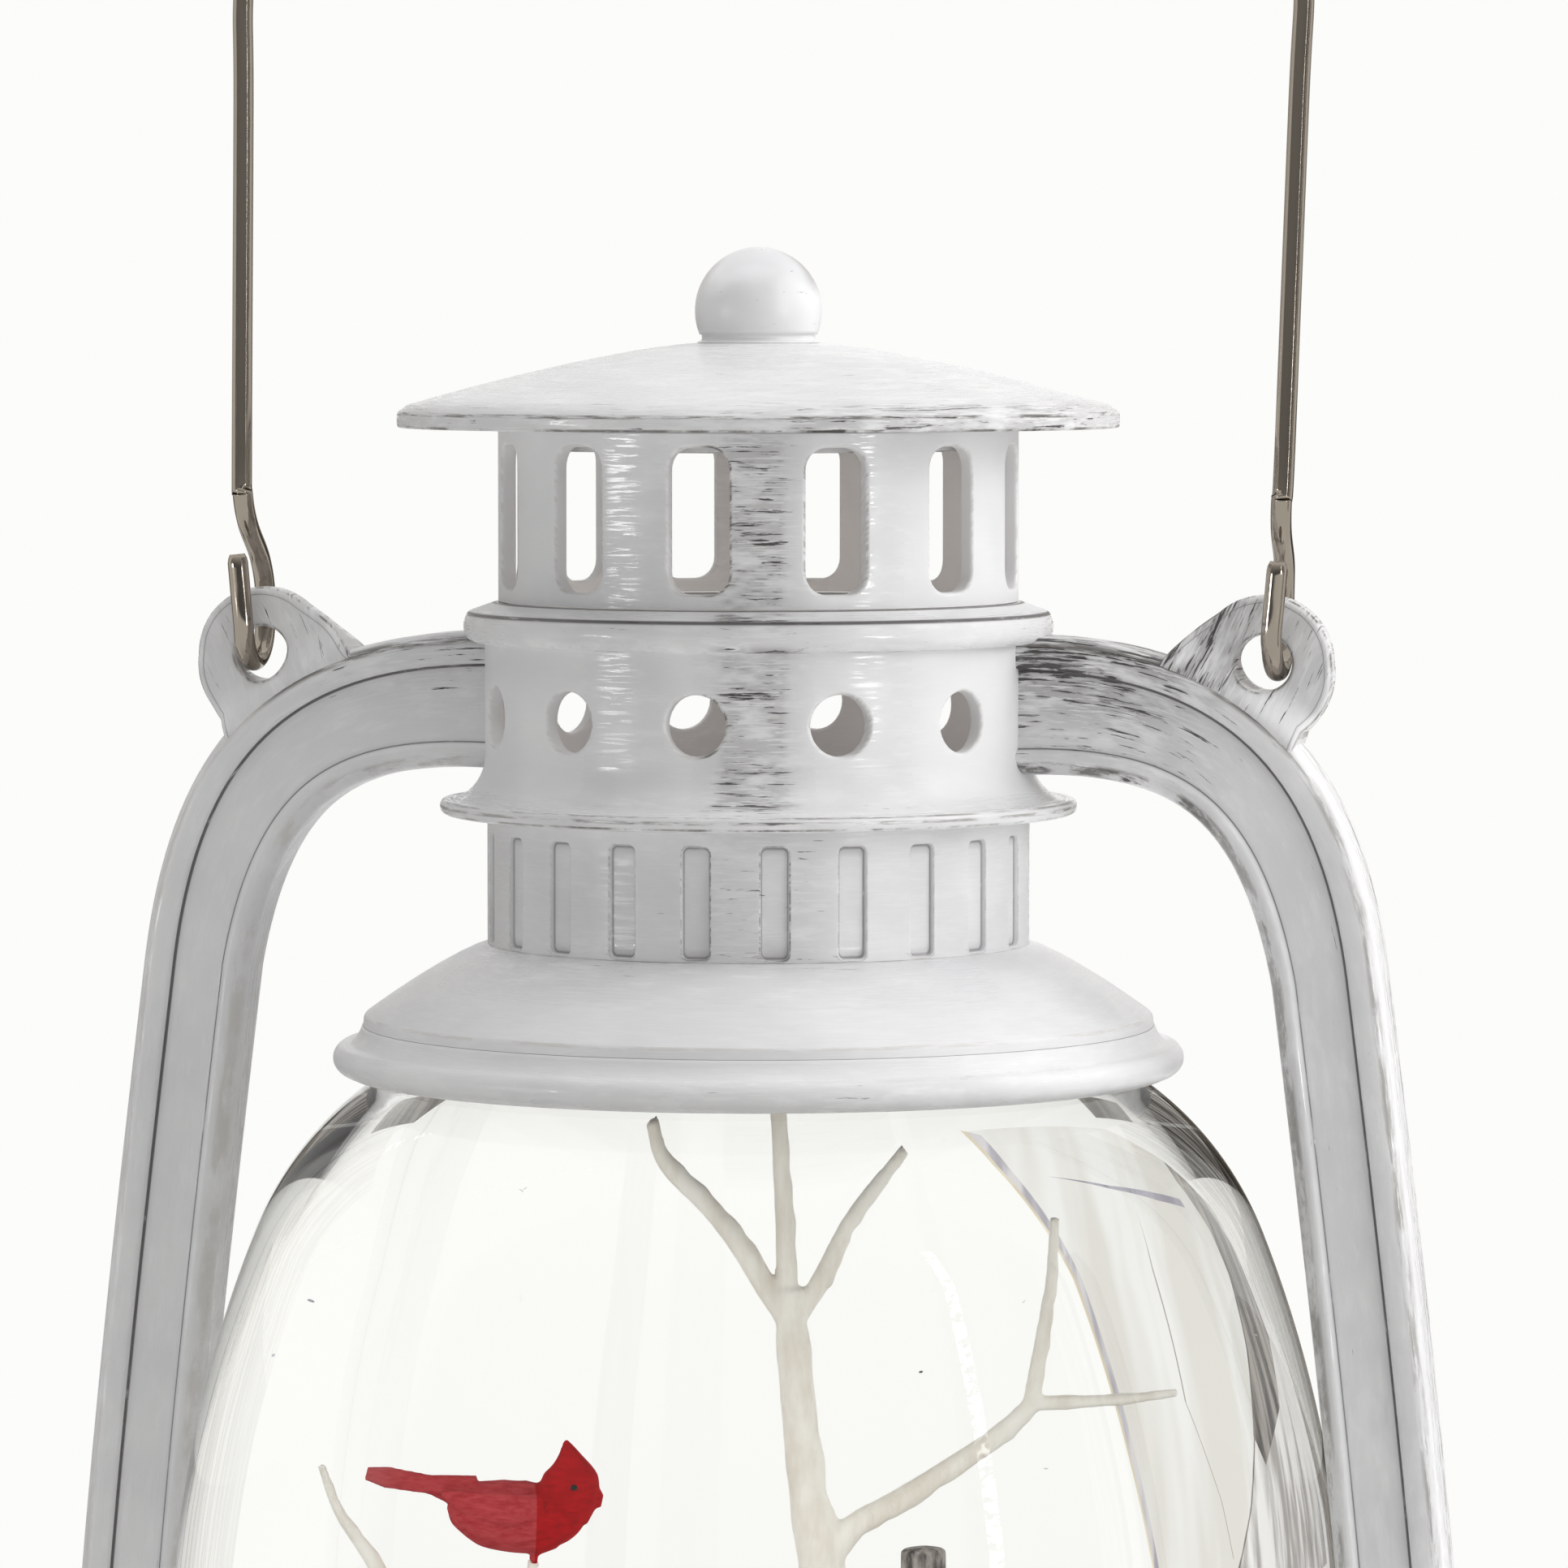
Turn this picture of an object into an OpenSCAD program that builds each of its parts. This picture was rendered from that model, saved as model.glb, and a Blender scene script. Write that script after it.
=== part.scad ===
/* [Cap] */
// Radius of the ball knob
knob_r = 6.1; // [4:0.1:8]
// Radius of the cap's rim
roof_r = 34.7; // [32:0.1:37]
// Height of the cap's thin outer edge
roof_edge_h = 2; // [1:0.1:3]
// Height that the cap's dome rises over its edge
roof_rise = 6.2; // [4:0.1:9]

/* [Vent galleries] */
// Outer radius of the upper, slotted gallery
upper_r = 25; // [24:0.1:26]
// Height of the upper gallery
upper_h = 16.6; // [15:0.1:20]
// Number of slots, and of holes below them
vent_count = 12; // [8:1:12]
// Width of a slot
slot_w = 6; // [3:0.1:7]
// Height of a slot
slot_h = 14.5; // [9:0.1:14.6]
// Outer radius of the lower, round-holed gallery
lower_r = 26.3; // [25.8:0.1:27]
// Radius of a round vent hole
hole_r = 2.9; // [1.5:0.1:3.6]
// Outer radius of the bead between the galleries
bead_r = 28.35; // [27.6:0.05:30]
// Radius of the drip flange under the lower gallery
flange_r = 30.7; // [29:0.1:34]
// Wall of the galleries, neck and hood
top_wall = 1.5; // [1.2:0.1:2]

/* [Neck and hood] */
// Outer radius of the fluted neck
neck_r = 26.1; // [25:0.1:26.2]
// Height of the fluted neck
neck_h = 12.3; // [10:0.1:16]
// Number of flutes round the neck
flute_count = 22; // [12:1:24]
// Width of one flute
flute_w = 2.7; // [1.5:0.1:3.2]
// Depth of one flute
flute_d = 0.5; // [0.2:0.1:0.9]
// Radius of the hood's opening, which sits on the globe's crown
hood_open_r = 37.2; // [36:0.1:38]
// Width of the hood's rolled brim outside its opening
brim_w = 3.8; // [3:0.1:6]
// How far the brim stands out past the hood's shoulder line
brim_step = 3; // [2:0.1:5]

/* [Globe] */
// Largest radius of the clear globe
globe_r = 57; // [55:0.1:58]
// Height of the globe's crown over its widest ring
globe_rise = 64.5; // [62:0.1:66]
// Radius of the flat middle of the crown
crown_flat_r = 18.6; // [14:0.1:22]
// Radius of the globe's long side curve, seen in profile
side_arc = 120.3; // [110:0.1:135]
// Wall of the globe
globe_wall = 2.4; // [1.8:0.1:3]
// Outer radius of the globe's open lower neck
globe_neck_r = 36; // [35:0.1:37]

/* [Side arms] */
// Depth of an arm, front to back
arm_d = 8; // [6:0.1:10]
// Width of an arm's leg
arm_w = 10.7; // [9:0.1:11.5]
// Height of an arm's root at the gallery
arm_root_h = 13.5; // [11:0.1:14]
// Depth of the sunk panel on an arm's front and back
arm_panel_d = 0.8; // [0.3:0.1:1.5]
// Thickness of the ear plate
ear_t = 2.6; // [2:0.1:3.2]
// Outer radius of an ear
ear_r = 6.45; // [6:0.05:7.5]
// Radius of the hole in an ear
ear_hole_r = 2.65; // [2.3:0.05:2.9]

/* [Bail] */
// Diameter of the bail wire
wire_d = 2; // [1.4:0.1:2.2]
// Height of the bail's arch top above the ears' hooks
bail_rise = 104; // [95:1:130]

/* [Base] */
// Outer radius of the tank
tank_r = 58; // [57:0.1:60]
// Outer radius of the foot
foot_r = 53; // [51:0.1:56]
// Wall of the tank and foot
base_wall = 2; // [1.5:0.1:2.5]
// Height of the rubber pads under the base
pad_h = 2; // [1.5:0.1:3]

/* [Works] */
// Radius of a battery
cell_r = 7.1; // [5:0.05:7.2]
// Length of a battery
cell_l = 50; // [44:0.5:51]
// Radius of the motor can
motor_r = 10; // [7:0.1:12]
// Radius of the impeller over its blades
impeller_r = 10.5; // [8:0.1:11]
// Number of impeller blades
blade_count = 6; // [3:1:8]
// Travel of the switch slider
switch_travel = 4; // [2:0.1:5]

/* [Hidden] */
$fn = 96;
gap = 0.1;            // between pieces of one body that seat on each other
run = 0.3;            // between pieces that move past each other
eps = 0.05;           // overrun of a cut past the face it opens
scene_turn = 13;      // the scene in the globe faces a little to one side

// Heights, from the floor up
cover_z = pad_h;
cover_t = 2;
foot_z = pad_h - 0.6;
tank_z = 12;
tank_top = 42;
tank_side_top = tank_top - 8;
seat_h = 8;
seat_top = tank_top + seat_h;

// Globe profile: a long side arc that runs without a break into an arc at each shoulder
side_c = globe_r - side_arc;
shoulder_arc = (pow(side_arc, 2) - pow(crown_flat_r - side_c, 2) - pow(globe_rise, 2))
    / (2 * (side_arc - globe_rise));
side_turn = atan2(globe_rise - shoulder_arc, crown_flat_r - side_c);
low_turn = acos((globe_neck_r + 2.9 - crown_flat_r) / shoulder_arc);
shoulder_c = [crown_flat_r, globe_rise - shoulder_arc];
globe_low = seat_top - 1.3;
globe_mid_z = globe_low + shoulder_c[1] + shoulder_arc * sin(low_turn);
crown_z = globe_mid_z + globe_rise;
port_r = 6;

brim_r = hood_open_r + brim_w;
shoulder_r = brim_r - brim_step;
// The hood comes down to where the globe is 1 mm narrower than its opening
brim_z = crown_z - shoulder_arc + sqrt(pow(shoulder_arc, 2) - pow(hood_open_r - 1 - crown_flat_r, 2));
shoulder_z = brim_z + 5.3;
neck_z = shoulder_z + 7.4;
flange_z = neck_z + neck_h;
flange_t = 2.1;
lower_z = flange_z + flange_t + 1.5;
lower_h = 13.3;
bead_z = lower_z + lower_h;
bead_h = 3.6;
upper_z = bead_z + bead_h;
roof_z = upper_z + upper_h;
roof_top = roof_z + roof_edge_h + roof_rise;
hole_z = lower_z + 6.2;

// Works, from the bottom cover up
box_z = cover_z + cover_t;
box_wall = 1.4;
box_clear = 0.5;
cell_z = box_z + box_clear + cell_r;
box_h = 2 * cell_r + box_clear + 0.3 + box_wall;
cell_pitch = 2 * cell_r + 0.6;
contact_gap = 2.8;
box_l = cell_l + 2 * contact_gap + 2 * box_wall;
box_w = 3 * cell_pitch + 2 * box_wall;
mount_t = 1.2;
motor_z = box_z + box_h + gap + mount_t;
motor_h = 10;
plug_z = seat_top - 12;
plug_t = 6;
plug_top = plug_z + plug_t;
shaft_r = 1;
hub_z = motor_z + motor_h + 0.8;
hub_h = plug_z - 0.8 - hub_z;
impeller_z = plug_top + 0.5;
impeller_h = 6;
well_r = impeller_r + 1.2;
well_h = impeller_h + 2.2;
switch_y = box_w / 2 + 12;

// Arm centre line, as joined cubic curves in the XZ plane: [x, z]
arm_knee = [globe_r - 1.35, brim_z + 10.2];
arm_hip = [globe_r + 7.6, globe_mid_z - 21];
arm_curves = [
    [[lower_r - 4.3, lower_z + 7.1], [lower_r + 15.7, lower_z + 8.4], arm_knee + [-3.35, 21], arm_knee],
    [arm_knee, arm_knee + [2.95, -23.5], arm_hip + [-1.4, 30], arm_hip],
    [arm_hip, arm_hip + [0.7, -15], [tank_r + 8.2, tank_top + 10], [tank_r - 8, tank_side_top]]];
curve_steps = 14;
ear_x = globe_r - 7.6;
ear_z = lower_z + 11.5;
hook_x = ear_x + 1.1;
hook_r = 3.7;
hook_z = ear_z + 2.9;
tip_h = 6.8;
tip_splay = 0.6;
leg_x = hook_x + 1.8;
leg_z = hook_z + 60.3;
bail_top_z = hook_z + bail_rise;

// ---- shared shapes ----

function bez(p, t) = pow(1 - t, 3) * p[0] + 3 * t * pow(1 - t, 2) * p[1]
    + 3 * t * t * (1 - t) * p[2] + pow(t, 3) * p[3];
function bez_dir(p, t) = 3 * pow(1 - t, 2) * (p[1] - p[0]) + 6 * t * (1 - t) * (p[2] - p[1])
    + 3 * t * t * (p[3] - p[2]);
function unit(v) = v / norm(v);

// Points of an arc in a profile
function arc(c, r, a0, a1, n = 12) =
    [for (i = [0:n]) [c[0] + r * cos(a0 + (a1 - a0) * i / n), c[1] + r * sin(a0 + (a1 - a0) * i / n)]];

// A side direction for each step of a path, carried along without twisting
function carried(dirs, side, i = 0) = i == len(dirs) ? [] :
    let (v = unit(side - (side * dirs[i]) * dirs[i])) concat([v], carried(dirs, v, i + 1));

// A tube along a list of 3D points, with a radius at each
module tube(path, radii, sides = 8) {
    last = len(path) - 1;
    dirs = [for (i = [0:last]) unit(path[min(i + 1, last)] - path[max(i - 1, 0)])];
    across = carried(dirs, cross(dirs[0], [0.3, 1, 0.2]));
    points = [for (i = [0:last], k = [0:sides - 1]) let (a = k * 360 / sides)
        path[i] + radii[i] * (cos(a) * across[i] + sin(a) * cross(dirs[i], across[i]))];
    walls = [for (i = [0:last - 1], k = [0:sides - 1]) let (n = (k + 1) % sides)
        [(i + 1) * sides + k, (i + 1) * sides + n, i * sides + n, i * sides + k]];
    ends = [[for (k = [0:sides - 1]) k], [for (k = [sides - 1:-1:0]) last * sides + k]];
    polyhedron(points, concat(ends, walls));
}

module ring_of(count, turn = 0) {
    for (i = [0:count - 1]) rotate([0, 0, turn + i * 360 / count]) children();
}

// An upright slot with round ends, cut along -Y
module slot_cut(w, h, depth) {
    r = w / 2 - eps;
    rotate([90, 0, 0]) linear_extrude(depth) union() {
        square([w, h - 2 * r], center = true);
        for (s = [-1, 1]) translate([0, s * (h / 2 - r)]) circle(r, $fn = 32);
    }
}

// A turned shell from an outline of [r, z] points
module turned(points) {
    rotate_extrude() polygon(points);
}

// ---- cap ----

module cap_knob() {
    color("gainsboro") union() {
        difference() {
            translate([0, 0, roof_top + 3.1]) sphere(knob_r);
            translate([0, 0, roof_top + gap - 10]) cylinder(r = 10, h = 10);
        }
        translate([0, 0, roof_top + gap]) cylinder(r = knob_r - 0.5, h = 2.5);
        translate([0, 0, roof_top - 7]) cylinder(r = 1.5, h = 8);
    }
}

module knob_nut() {
    color("silver") translate([0, 0, roof_top - 1.6 - gap - 2.4]) difference() {
        cylinder(r = 3.2, h = 2.4, $fn = 6);
        translate([0, 0, -eps]) cylinder(r = 1.5 + eps, h = 3);
    }
}

// The cap's upper line from the knob's seat out to the rim
function roof_line(r, top) = let (t = (r - knob_r) / (roof_r - knob_r))
    top - roof_rise * pow(t, 1.35);

module cap_roof() {
    steps = 10;
    lip = roof_z + roof_edge_h;
    outer = [for (i = [0:steps]) let (r = knob_r + (roof_r - 1 - knob_r) * i / steps)
        [r, roof_line(r, roof_top)]];
    inner = [for (i = [steps:-1:0]) let (r = knob_r + (upper_r - 4 - knob_r) * i / steps)
        [r, roof_line(r, roof_top) - 1.6]];
    color("white") difference() {
        turned(concat([[0, roof_top]], outer,
            [[roof_r, lip - 0.5], [roof_r, roof_z + 0.3], [roof_r - 0.4, roof_z], [upper_r - 2.6, roof_z],
             [upper_r - 2.6, roof_z - 2], [upper_r - 4, roof_z - 2]], inner, [[0, roof_top - 1.6]]));
        translate([0, 0, roof_top - 3]) cylinder(r = 1.6, h = 4);
    }
}

// ---- vent galleries ----

module upper_gallery() {
    z0 = upper_z + gap;
    color("white") difference() {
        union() {
            translate([0, 0, z0]) cylinder(r = upper_r, h = upper_h - 2 * gap);
            translate([0, 0, z0 - 3]) cylinder(r = upper_r - 0.4, h = 4);
        }
        translate([0, 0, z0 - 4]) cylinder(r = upper_r - top_wall, h = upper_h + 5);
        ring_of(vent_count) translate([0, -upper_r + 4, upper_z + upper_h / 2 - 0.2]) slot_cut(slot_w, slot_h, 8);
    }
}

module lower_gallery() {
    inner = lower_r - top_wall;
    ledge = upper_r - 0.4 + gap;
    flare = 4.6;
    color("white") difference() {
        turned(concat(
            [[inner, flange_z + top_wall], [8, flange_z + top_wall], [8, flange_z + gap],
             [flange_r - 0.6, flange_z + gap]],
            arc([flange_r - 0.8, flange_z + 1.1], 0.8, -60, 60, 6),
            arc([lower_r + flare, lower_z + flare - 2.6], flare, 248, 180, 8),
            [[lower_r, bead_z - 0.6], [bead_r - 1, bead_z]],
            arc([bead_r - 1.3, bead_z + 1.8], 1.3, -60, 70, 8),
            [[bead_r - 1.4, upper_z], [ledge, upper_z], [ledge, upper_z - 3.2], [inner, upper_z - 3.2]]));
        ring_of(vent_count) translate([0, -lower_r + 5, hole_z]) rotate([90, 0, 0]) cylinder(r = hole_r, h = 10);
        ring_of(3, 30) translate([0, -17, flange_z - 1]) cylinder(r = 1.5, h = 4);
    }
}

module gallery_screws() {
    color("silver") ring_of(3, 30) translate([0, -17, flange_z]) union() {
        translate([0, 0, top_wall + gap]) cylinder(r = 2.6, h = 1.4);
        translate([0, 0, -6]) cylinder(r = 1.2, h = 8);
    }
}

// ---- neck and hood ----

module fluted_neck() {
    inner = neck_r - top_wall;
    flute_h = neck_h - 2.2;
    color("white") difference() {
        union() {
            translate([0, 0, neck_z + gap]) difference() {
                cylinder(r = neck_r, h = neck_h - gap);
                translate([0, 0, -eps]) cylinder(r = inner, h = neck_h - top_wall);
                cylinder(r = 8, h = neck_h + 1);
            }
            ring_of(3, 30) translate([0, -17, flange_z - 8]) cylinder(r = 3, h = 7);
            translate([0, 0, neck_z - 2]) difference() {
                cylinder(r = inner - 0.3, h = 5);
                translate([0, 0, -eps]) cylinder(r = inner - 1.6, h = 6);
            }
            translate([0, 0, neck_z + 2]) difference() {
                cylinder(r = inner + eps, h = 1.4);
                translate([0, 0, -eps]) cylinder(r = inner - 1.6, h = 2);
            }
        }
        ring_of(flute_count) translate([0, -neck_r + flute_d, neck_z + 0.4 + flute_h / 2])
            rotate([90, 0, 0]) linear_extrude(3) square([flute_w, flute_h], center = true);
        ring_of(3, 30) translate([0, -17, flange_z - 6.5]) cylinder(r = 1.2 + eps, h = 8);
    }
}

module globe_hood() {
    inner = neck_r - top_wall;
    color("white") turned(concat(
        [[inner, neck_z - 0.2], [neck_r, neck_z]],
        [for (i = [1:4]) let (t = i / 4)
            [neck_r + (shoulder_r - neck_r) * t, neck_z + (shoulder_z + 0.5 - neck_z) * pow(t, 1.25)]],
        [[shoulder_r + 0.1, shoulder_z - 0.5]],
        arc([brim_r + 0.4, shoulder_z + 0.3], 3.3, 195, 232, 5),
        arc([brim_r - 1.5, brim_z + 1.7], 1.5, 62, -60, 8),
        [[brim_r - 1.6, brim_z], [hood_open_r, brim_z], [hood_open_r, brim_z + 2.2],
         [shoulder_r - 1.5, brim_z + 2.2], [shoulder_r - top_wall - 0.2, shoulder_z - 1.6],
         [inner, neck_z - 2.6]]));
}

module hood_gasket() {
    color("dimgray") difference() {
        turned([[hood_open_r - gap, brim_z + gap], [hood_open_r - gap, brim_z + 2],
                [hood_open_r - 2.2, brim_z + 2], [hood_open_r - 2.2, brim_z + gap]]);
        globe_solid(gap);
    }
}

// ---- globe ----

// Half outline of the globe's outside, grown by g
function globe_outline(g) = concat(
    [[0, crown_z + g]],
    arc([shoulder_c[0], globe_mid_z + shoulder_c[1]], shoulder_arc + g, 90, side_turn, 14),
    arc([globe_r - side_arc, globe_mid_z], side_arc + g, side_turn, -side_turn, 20),
    arc([shoulder_c[0], globe_mid_z - shoulder_c[1]], shoulder_arc + g, -side_turn, -low_turn, 8),
    [[0, globe_low - g]]);

module globe_solid(g) {
    turned(globe_outline(g));
}

module globe() {
    neck_in = globe_neck_r - globe_wall;
    color([0.9, 0.95, 1, 0.3]) difference() {
        union() {
            globe_solid(0);
            translate([0, 0, plug_z + 1]) cylinder(r = globe_neck_r, h = globe_low - plug_z);
            translate([0, 0, crown_z - 1]) cylinder(r = port_r + 2, h = 3);
        }
        turned(concat([[0, crown_z - globe_wall]],
            arc([shoulder_c[0], globe_mid_z + shoulder_c[1]], shoulder_arc - globe_wall, 90, side_turn, 14),
            arc([globe_r - side_arc, globe_mid_z], side_arc - globe_wall, side_turn, -side_turn, 20),
            arc([shoulder_c[0], globe_mid_z - shoulder_c[1]], shoulder_arc - globe_wall, -side_turn, -low_turn, 8),
            [[neck_in, globe_low + globe_wall], [neck_in, plug_z], [0, plug_z]]));
        translate([0, 0, crown_z - 4]) cylinder(r = port_r, h = 8);
    }
}

module fill_plug() {
    color("dimgray") translate([0, 0, crown_z]) union() {
        translate([0, 0, -globe_wall]) cylinder(r = port_r - eps, h = 5);
        translate([0, 0, 2 + gap]) cylinder(r = port_r + 1.8, h = 1.6);
    }
}

// ---- arms ----

// Centre line points, directions and widths of the right arm, from gallery to tank
curve_t = [for (c = [0:2], i = [(c == 0 ? 0 : 1):curve_steps]) [c, i / curve_steps]];
arm_mid = [for (s = curve_t) bez(arm_curves[s[0]], s[1])];
arm_dir = [for (s = curve_t) unit(bez_dir(arm_curves[s[0]], s[1]))];
function arm_half(i) = let (t = min(1, i / curve_steps)) (arm_root_h * (1 - t) + arm_w * t) / 2;
// A line beside the centre line: side 1 is outside, -1 is towards the globe
function arm_edge(side, inset) = [for (i = [0:len(arm_mid) - 1])
    arm_mid[i] + side * (arm_half(i) - inset) * [-arm_dir[i][1], arm_dir[i][0]]];
function reversed(list) = [for (i = [len(list) - 1:-1:0]) list[i]];

module ribbon(outer_inset, inner_inset) {
    polygon(concat(arm_edge(1, outer_inset), reversed(arm_edge(-1, inner_inset))));
}

module upright(depth) {
    translate([0, depth / 2, 0]) rotate([90, 0, 0]) linear_extrude(depth) children();
}

// Outline of an ear: a ramp up from the arm, a disc round the hole and a lobe that comes down to the arm
module ear_outline() {
    c = [ear_x, ear_z];
    foot = c + [-10.1, -0.5];
    turn = atan2(c[1] - foot[1], c[0] - foot[0]) + asin(ear_r / norm(c - foot));
    touch = foot + sqrt((c - foot) * (c - foot) - ear_r * ear_r) * [cos(turn), sin(turn)];
    lobe = [for (a = [0:-6:-60]) c + (ear_r - 1.1 * a / 60) * [cos(a), sin(a)]];
    union() {
        translate(c) circle(ear_r, $fn = 64);
        polygon(concat([foot, (foot + touch) / 2 + [-0.2, 0.25], touch, c + [ear_r, 0]], lobe, [c + [-5.4, -4.4]]));
    }
}

module arm() {
    difference() {
        union() {
            upright(arm_d) ribbon(0, 0);
            upright(ear_t) ear_outline();
        }
        for (side = [0, 1]) mirror([0, side, 0])
            translate([0, -arm_d / 2 + arm_panel_d, 0]) rotate([90, 0, 0])
                linear_extrude(arm_panel_d + 1) ribbon(3.2, 2.4);
        translate([ear_x, 5, ear_z]) rotate([90, 0, 0]) cylinder(r = ear_hole_r, h = 10);
        translate([0, 0, lower_z - 1]) cylinder(r = lower_r + gap, h = lower_h + 1);
        translate([0, 0, bead_z - 1]) cylinder(r = bead_r + gap, h = bead_h + 2);
        translate([0, 0, flange_z - 1]) cylinder(r = flange_r + gap, h = 4.2);
        translate([0, 0, lower_z - 3]) cylinder(r1 = flange_r + gap, r2 = lower_r + gap, h = 5.4);
        tank_solid(gap);
        arm_screw_hole();
    }
}

// Places its children on the screw that holds an arm's end to the tank's shoulder
module at_arm_screw() {
    translate([tank_r - 8, 0, tank_side_top - 4]) rotate([0, 30, 0]) children();
}

module arm_screw_hole() {
    at_arm_screw() cylinder(r = 1.2 + eps, h = 16);
}

module left_arm() {
    color("white") mirror([1, 0, 0]) arm();
}

module right_arm() {
    color("white") arm();
}

module arm_screws() {
    color("silver") for (side = [0, 1]) mirror([side, 0, 0]) at_arm_screw() union() {
        cylinder(r = 1.2, h = 14);
        translate([0, 0, -1.6]) cylinder(r = 2.6, h = 1.6);
    }
}

// ---- bail ----

// Right half of the bail, from the hook's tip over the ear's rim and up to the arch's top
function hook_points() = concat(
    [[hook_x + tip_splay, -hook_r, hook_z + tip_h], [hook_x + tip_splay / 2, -hook_r, hook_z + tip_h / 2]],
    [for (i = [0:8]) let (a = 180 + i * 22.5) [hook_x, hook_r * cos(a), hook_z + hook_r * sin(a)]],
    [[hook_x, hook_r, hook_z + 3.2], [hook_x + 0.2, hook_r - 1.1, hook_z + 6.4],
     [hook_x + 0.4, -0.6, hook_z + 9.6], [hook_x + 0.6, -1.7, hook_z + 12.6],
     [hook_x + 0.8, -1.3, hook_z + 16.6]]);
function bail_half() = let (
    lean = 0.1,
    base = leg_z - 10,
    arch_h = bail_top_z - leg_z,
    leg = [leg_x, -1.3 + lean * (leg_z - hook_z - 16.6), leg_z])
    concat(hook_points(), [[leg_x - 0.3, leg[1] - 1, base], leg],
        [for (i = [1:12]) let (a = i * 7.5)
            [leg_x * cos(a), leg[1] + lean * arch_h * sin(a), leg_z + arch_h * sin(a)]]);

module bail_handle() {
    half = bail_half();
    path = concat(half, [for (i = [len(half) - 2:-1:0]) [-half[i][0], half[i][1], half[i][2]]]);
    color("silver") tube(path, [for (p = path) wire_d / 2], 12);
}

// ---- scene in the globe ----

// Height of the snow over the plug at a distance from the axis
mound_r = globe_neck_r - globe_wall - 0.6;
function snow_h(r) = 4 + 11 * cos(min(1, r / mound_r) * 90);
// Where the figures stand on the scene's line, and how deep they sink into the snow
tree_x = 6.5;
sapling_x = -13;
post_x = 12;
post_r = 1.7;
sink = 2;

// A limb: points [x, height over the plug] in the scene's plane, with its radius at each end
module limb(points, r0, r1) {
    last = len(points) - 1;
    tube([for (p = points) [p[0], 0, plug_top + p[1]]], [for (i = [0:last]) r0 + (r1 - r0) * i / last], 8);
}

module in_scene() {
    rotate([0, 0, scene_turn]) children();
}

module main_tree() {
    color("antiquewhite") in_scene() union() {
        limb([[tree_x, snow_h(tree_x) - sink], [5.4, 46], [5, 64], [4.7, 72.5], [3.8, 78.3], [2.9, 87.3], [2.2, 97]],
             2.6, 1.1);
        limb([[2.4, 94.5], [-0.2, 98.2], [-3.2, 101.6], [-7, 104.6], [-8.2, 107]], 1, 0.5);
        limb([[2.3, 94], [1.9, 102], [1.4, 109]], 0.9, 0.6);
        limb([[2.2, 94.5], [4.4, 97.2], [7.1, 101.4], [11.1, 105.4]], 1, 0.5);
        limb([[4.6, 73.5], [6.6, 76.2], [11, 79.2], [17.4, 84.1], [20.4, 87.3]], 1.3, 0.7);
        limb([[20, 86.8], [21.4, 95.7], [22.2, 101.7]], 0.7, 0.4);
        limb([[19.8, 87], [26.6, 87.3], [31.3, 87.9]], 0.7, 0.4);
    }
}

module left_sapling() {
    color("antiquewhite") in_scene() union() {
        limb([[sapling_x, snow_h(-sapling_x) - sink], [-16, 36], [-22, 60], [-28, 72.6], [-31, 77.5], [-32.6, 81.6]],
             1.2, 0.35);
        limb([[-18.5, 46], [-17.4, 62], [-16.4, 73.4]], 0.8, 0.5);
    }
}

module birch_post() {
    post_h = 73.2;
    foot = snow_h(post_x) - sink;
    color("rosybrown") in_scene() translate([post_x, 0, plug_top]) union() {
        translate([0, 0, foot]) cylinder(r = post_r, h = post_h - foot);
        translate([0, 0, post_h]) sphere(post_r - eps);
    }
}

// Breast and back, head with its crest, tail, beak and legs
module cardinal() {
    color("firebrick") in_scene() union() {
        limb([[-21.6, 77.4], [-19, 77.2], [-16.6, 76.9], [-14.6, 77.6], [-13.6, 79]], 3.1, 2.3);
        limb([[-14, 78.6], [-13.6, 80.8], [-13.9, 83.9]], 2.4, 0.2);
        limb([[-20.5, 78], [-24, 79.7], [-29, 80.7]], 1.9, 0.6);
        limb([[-13, 79.2], [-11.8, 78.6]], 1, 0.2);
        limb([[-16.4, 73.5], [-16.4, 75.5]], 0.35, 0.35);
    }
}

module snow_mound() {
    steps = 12;
    color("snow") translate([0, 0, plug_top]) difference() {
        turned(concat([[0, gap]], [[mound_r, gap]],
            [for (i = [0:steps]) let (r = mound_r * (1 - i / steps)) [r, snow_h(r)]]));
        cylinder(r = well_r, h = well_h);
        ring_of(4, 45) translate([0, 0, 3.4]) rotate([90, 0, 0]) cylinder(r = 1.9, h = mound_r + 2);
        in_scene() for (f = [[tree_x, 2.7], [sapling_x, post_r], [post_x, post_r + gap]])
            translate([f[0], 0, snow_h(abs(f[0])) - sink - 2 * gap]) cylinder(r = f[1], h = 6);
    }
}

module scene_plug() {
    color("ivory") difference() {
        union() {
            translate([0, 0, plug_z]) cylinder(r = globe_neck_r + 1.8, h = 1 - gap);
            translate([0, 0, plug_z]) cylinder(r = globe_neck_r - globe_wall - 1.1, h = plug_t);
        }
        translate([0, 0, plug_top - 2.5]) cylinder(r = shaft_r, h = 3);
        translate([0, 0, plug_z - eps]) cylinder(r = 12.5, h = 1.6);
    }
}

module globe_gasket() {
    r0 = globe_neck_r - globe_wall;
    color("dimgray") translate([0, 0, plug_z + 1]) difference() {
        cylinder(r = r0 - gap, h = plug_t - 2);
        translate([0, 0, -eps]) cylinder(r = r0 - 1.1 + eps, h = plug_t);
    }
}

// ---- agitator ----

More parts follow.
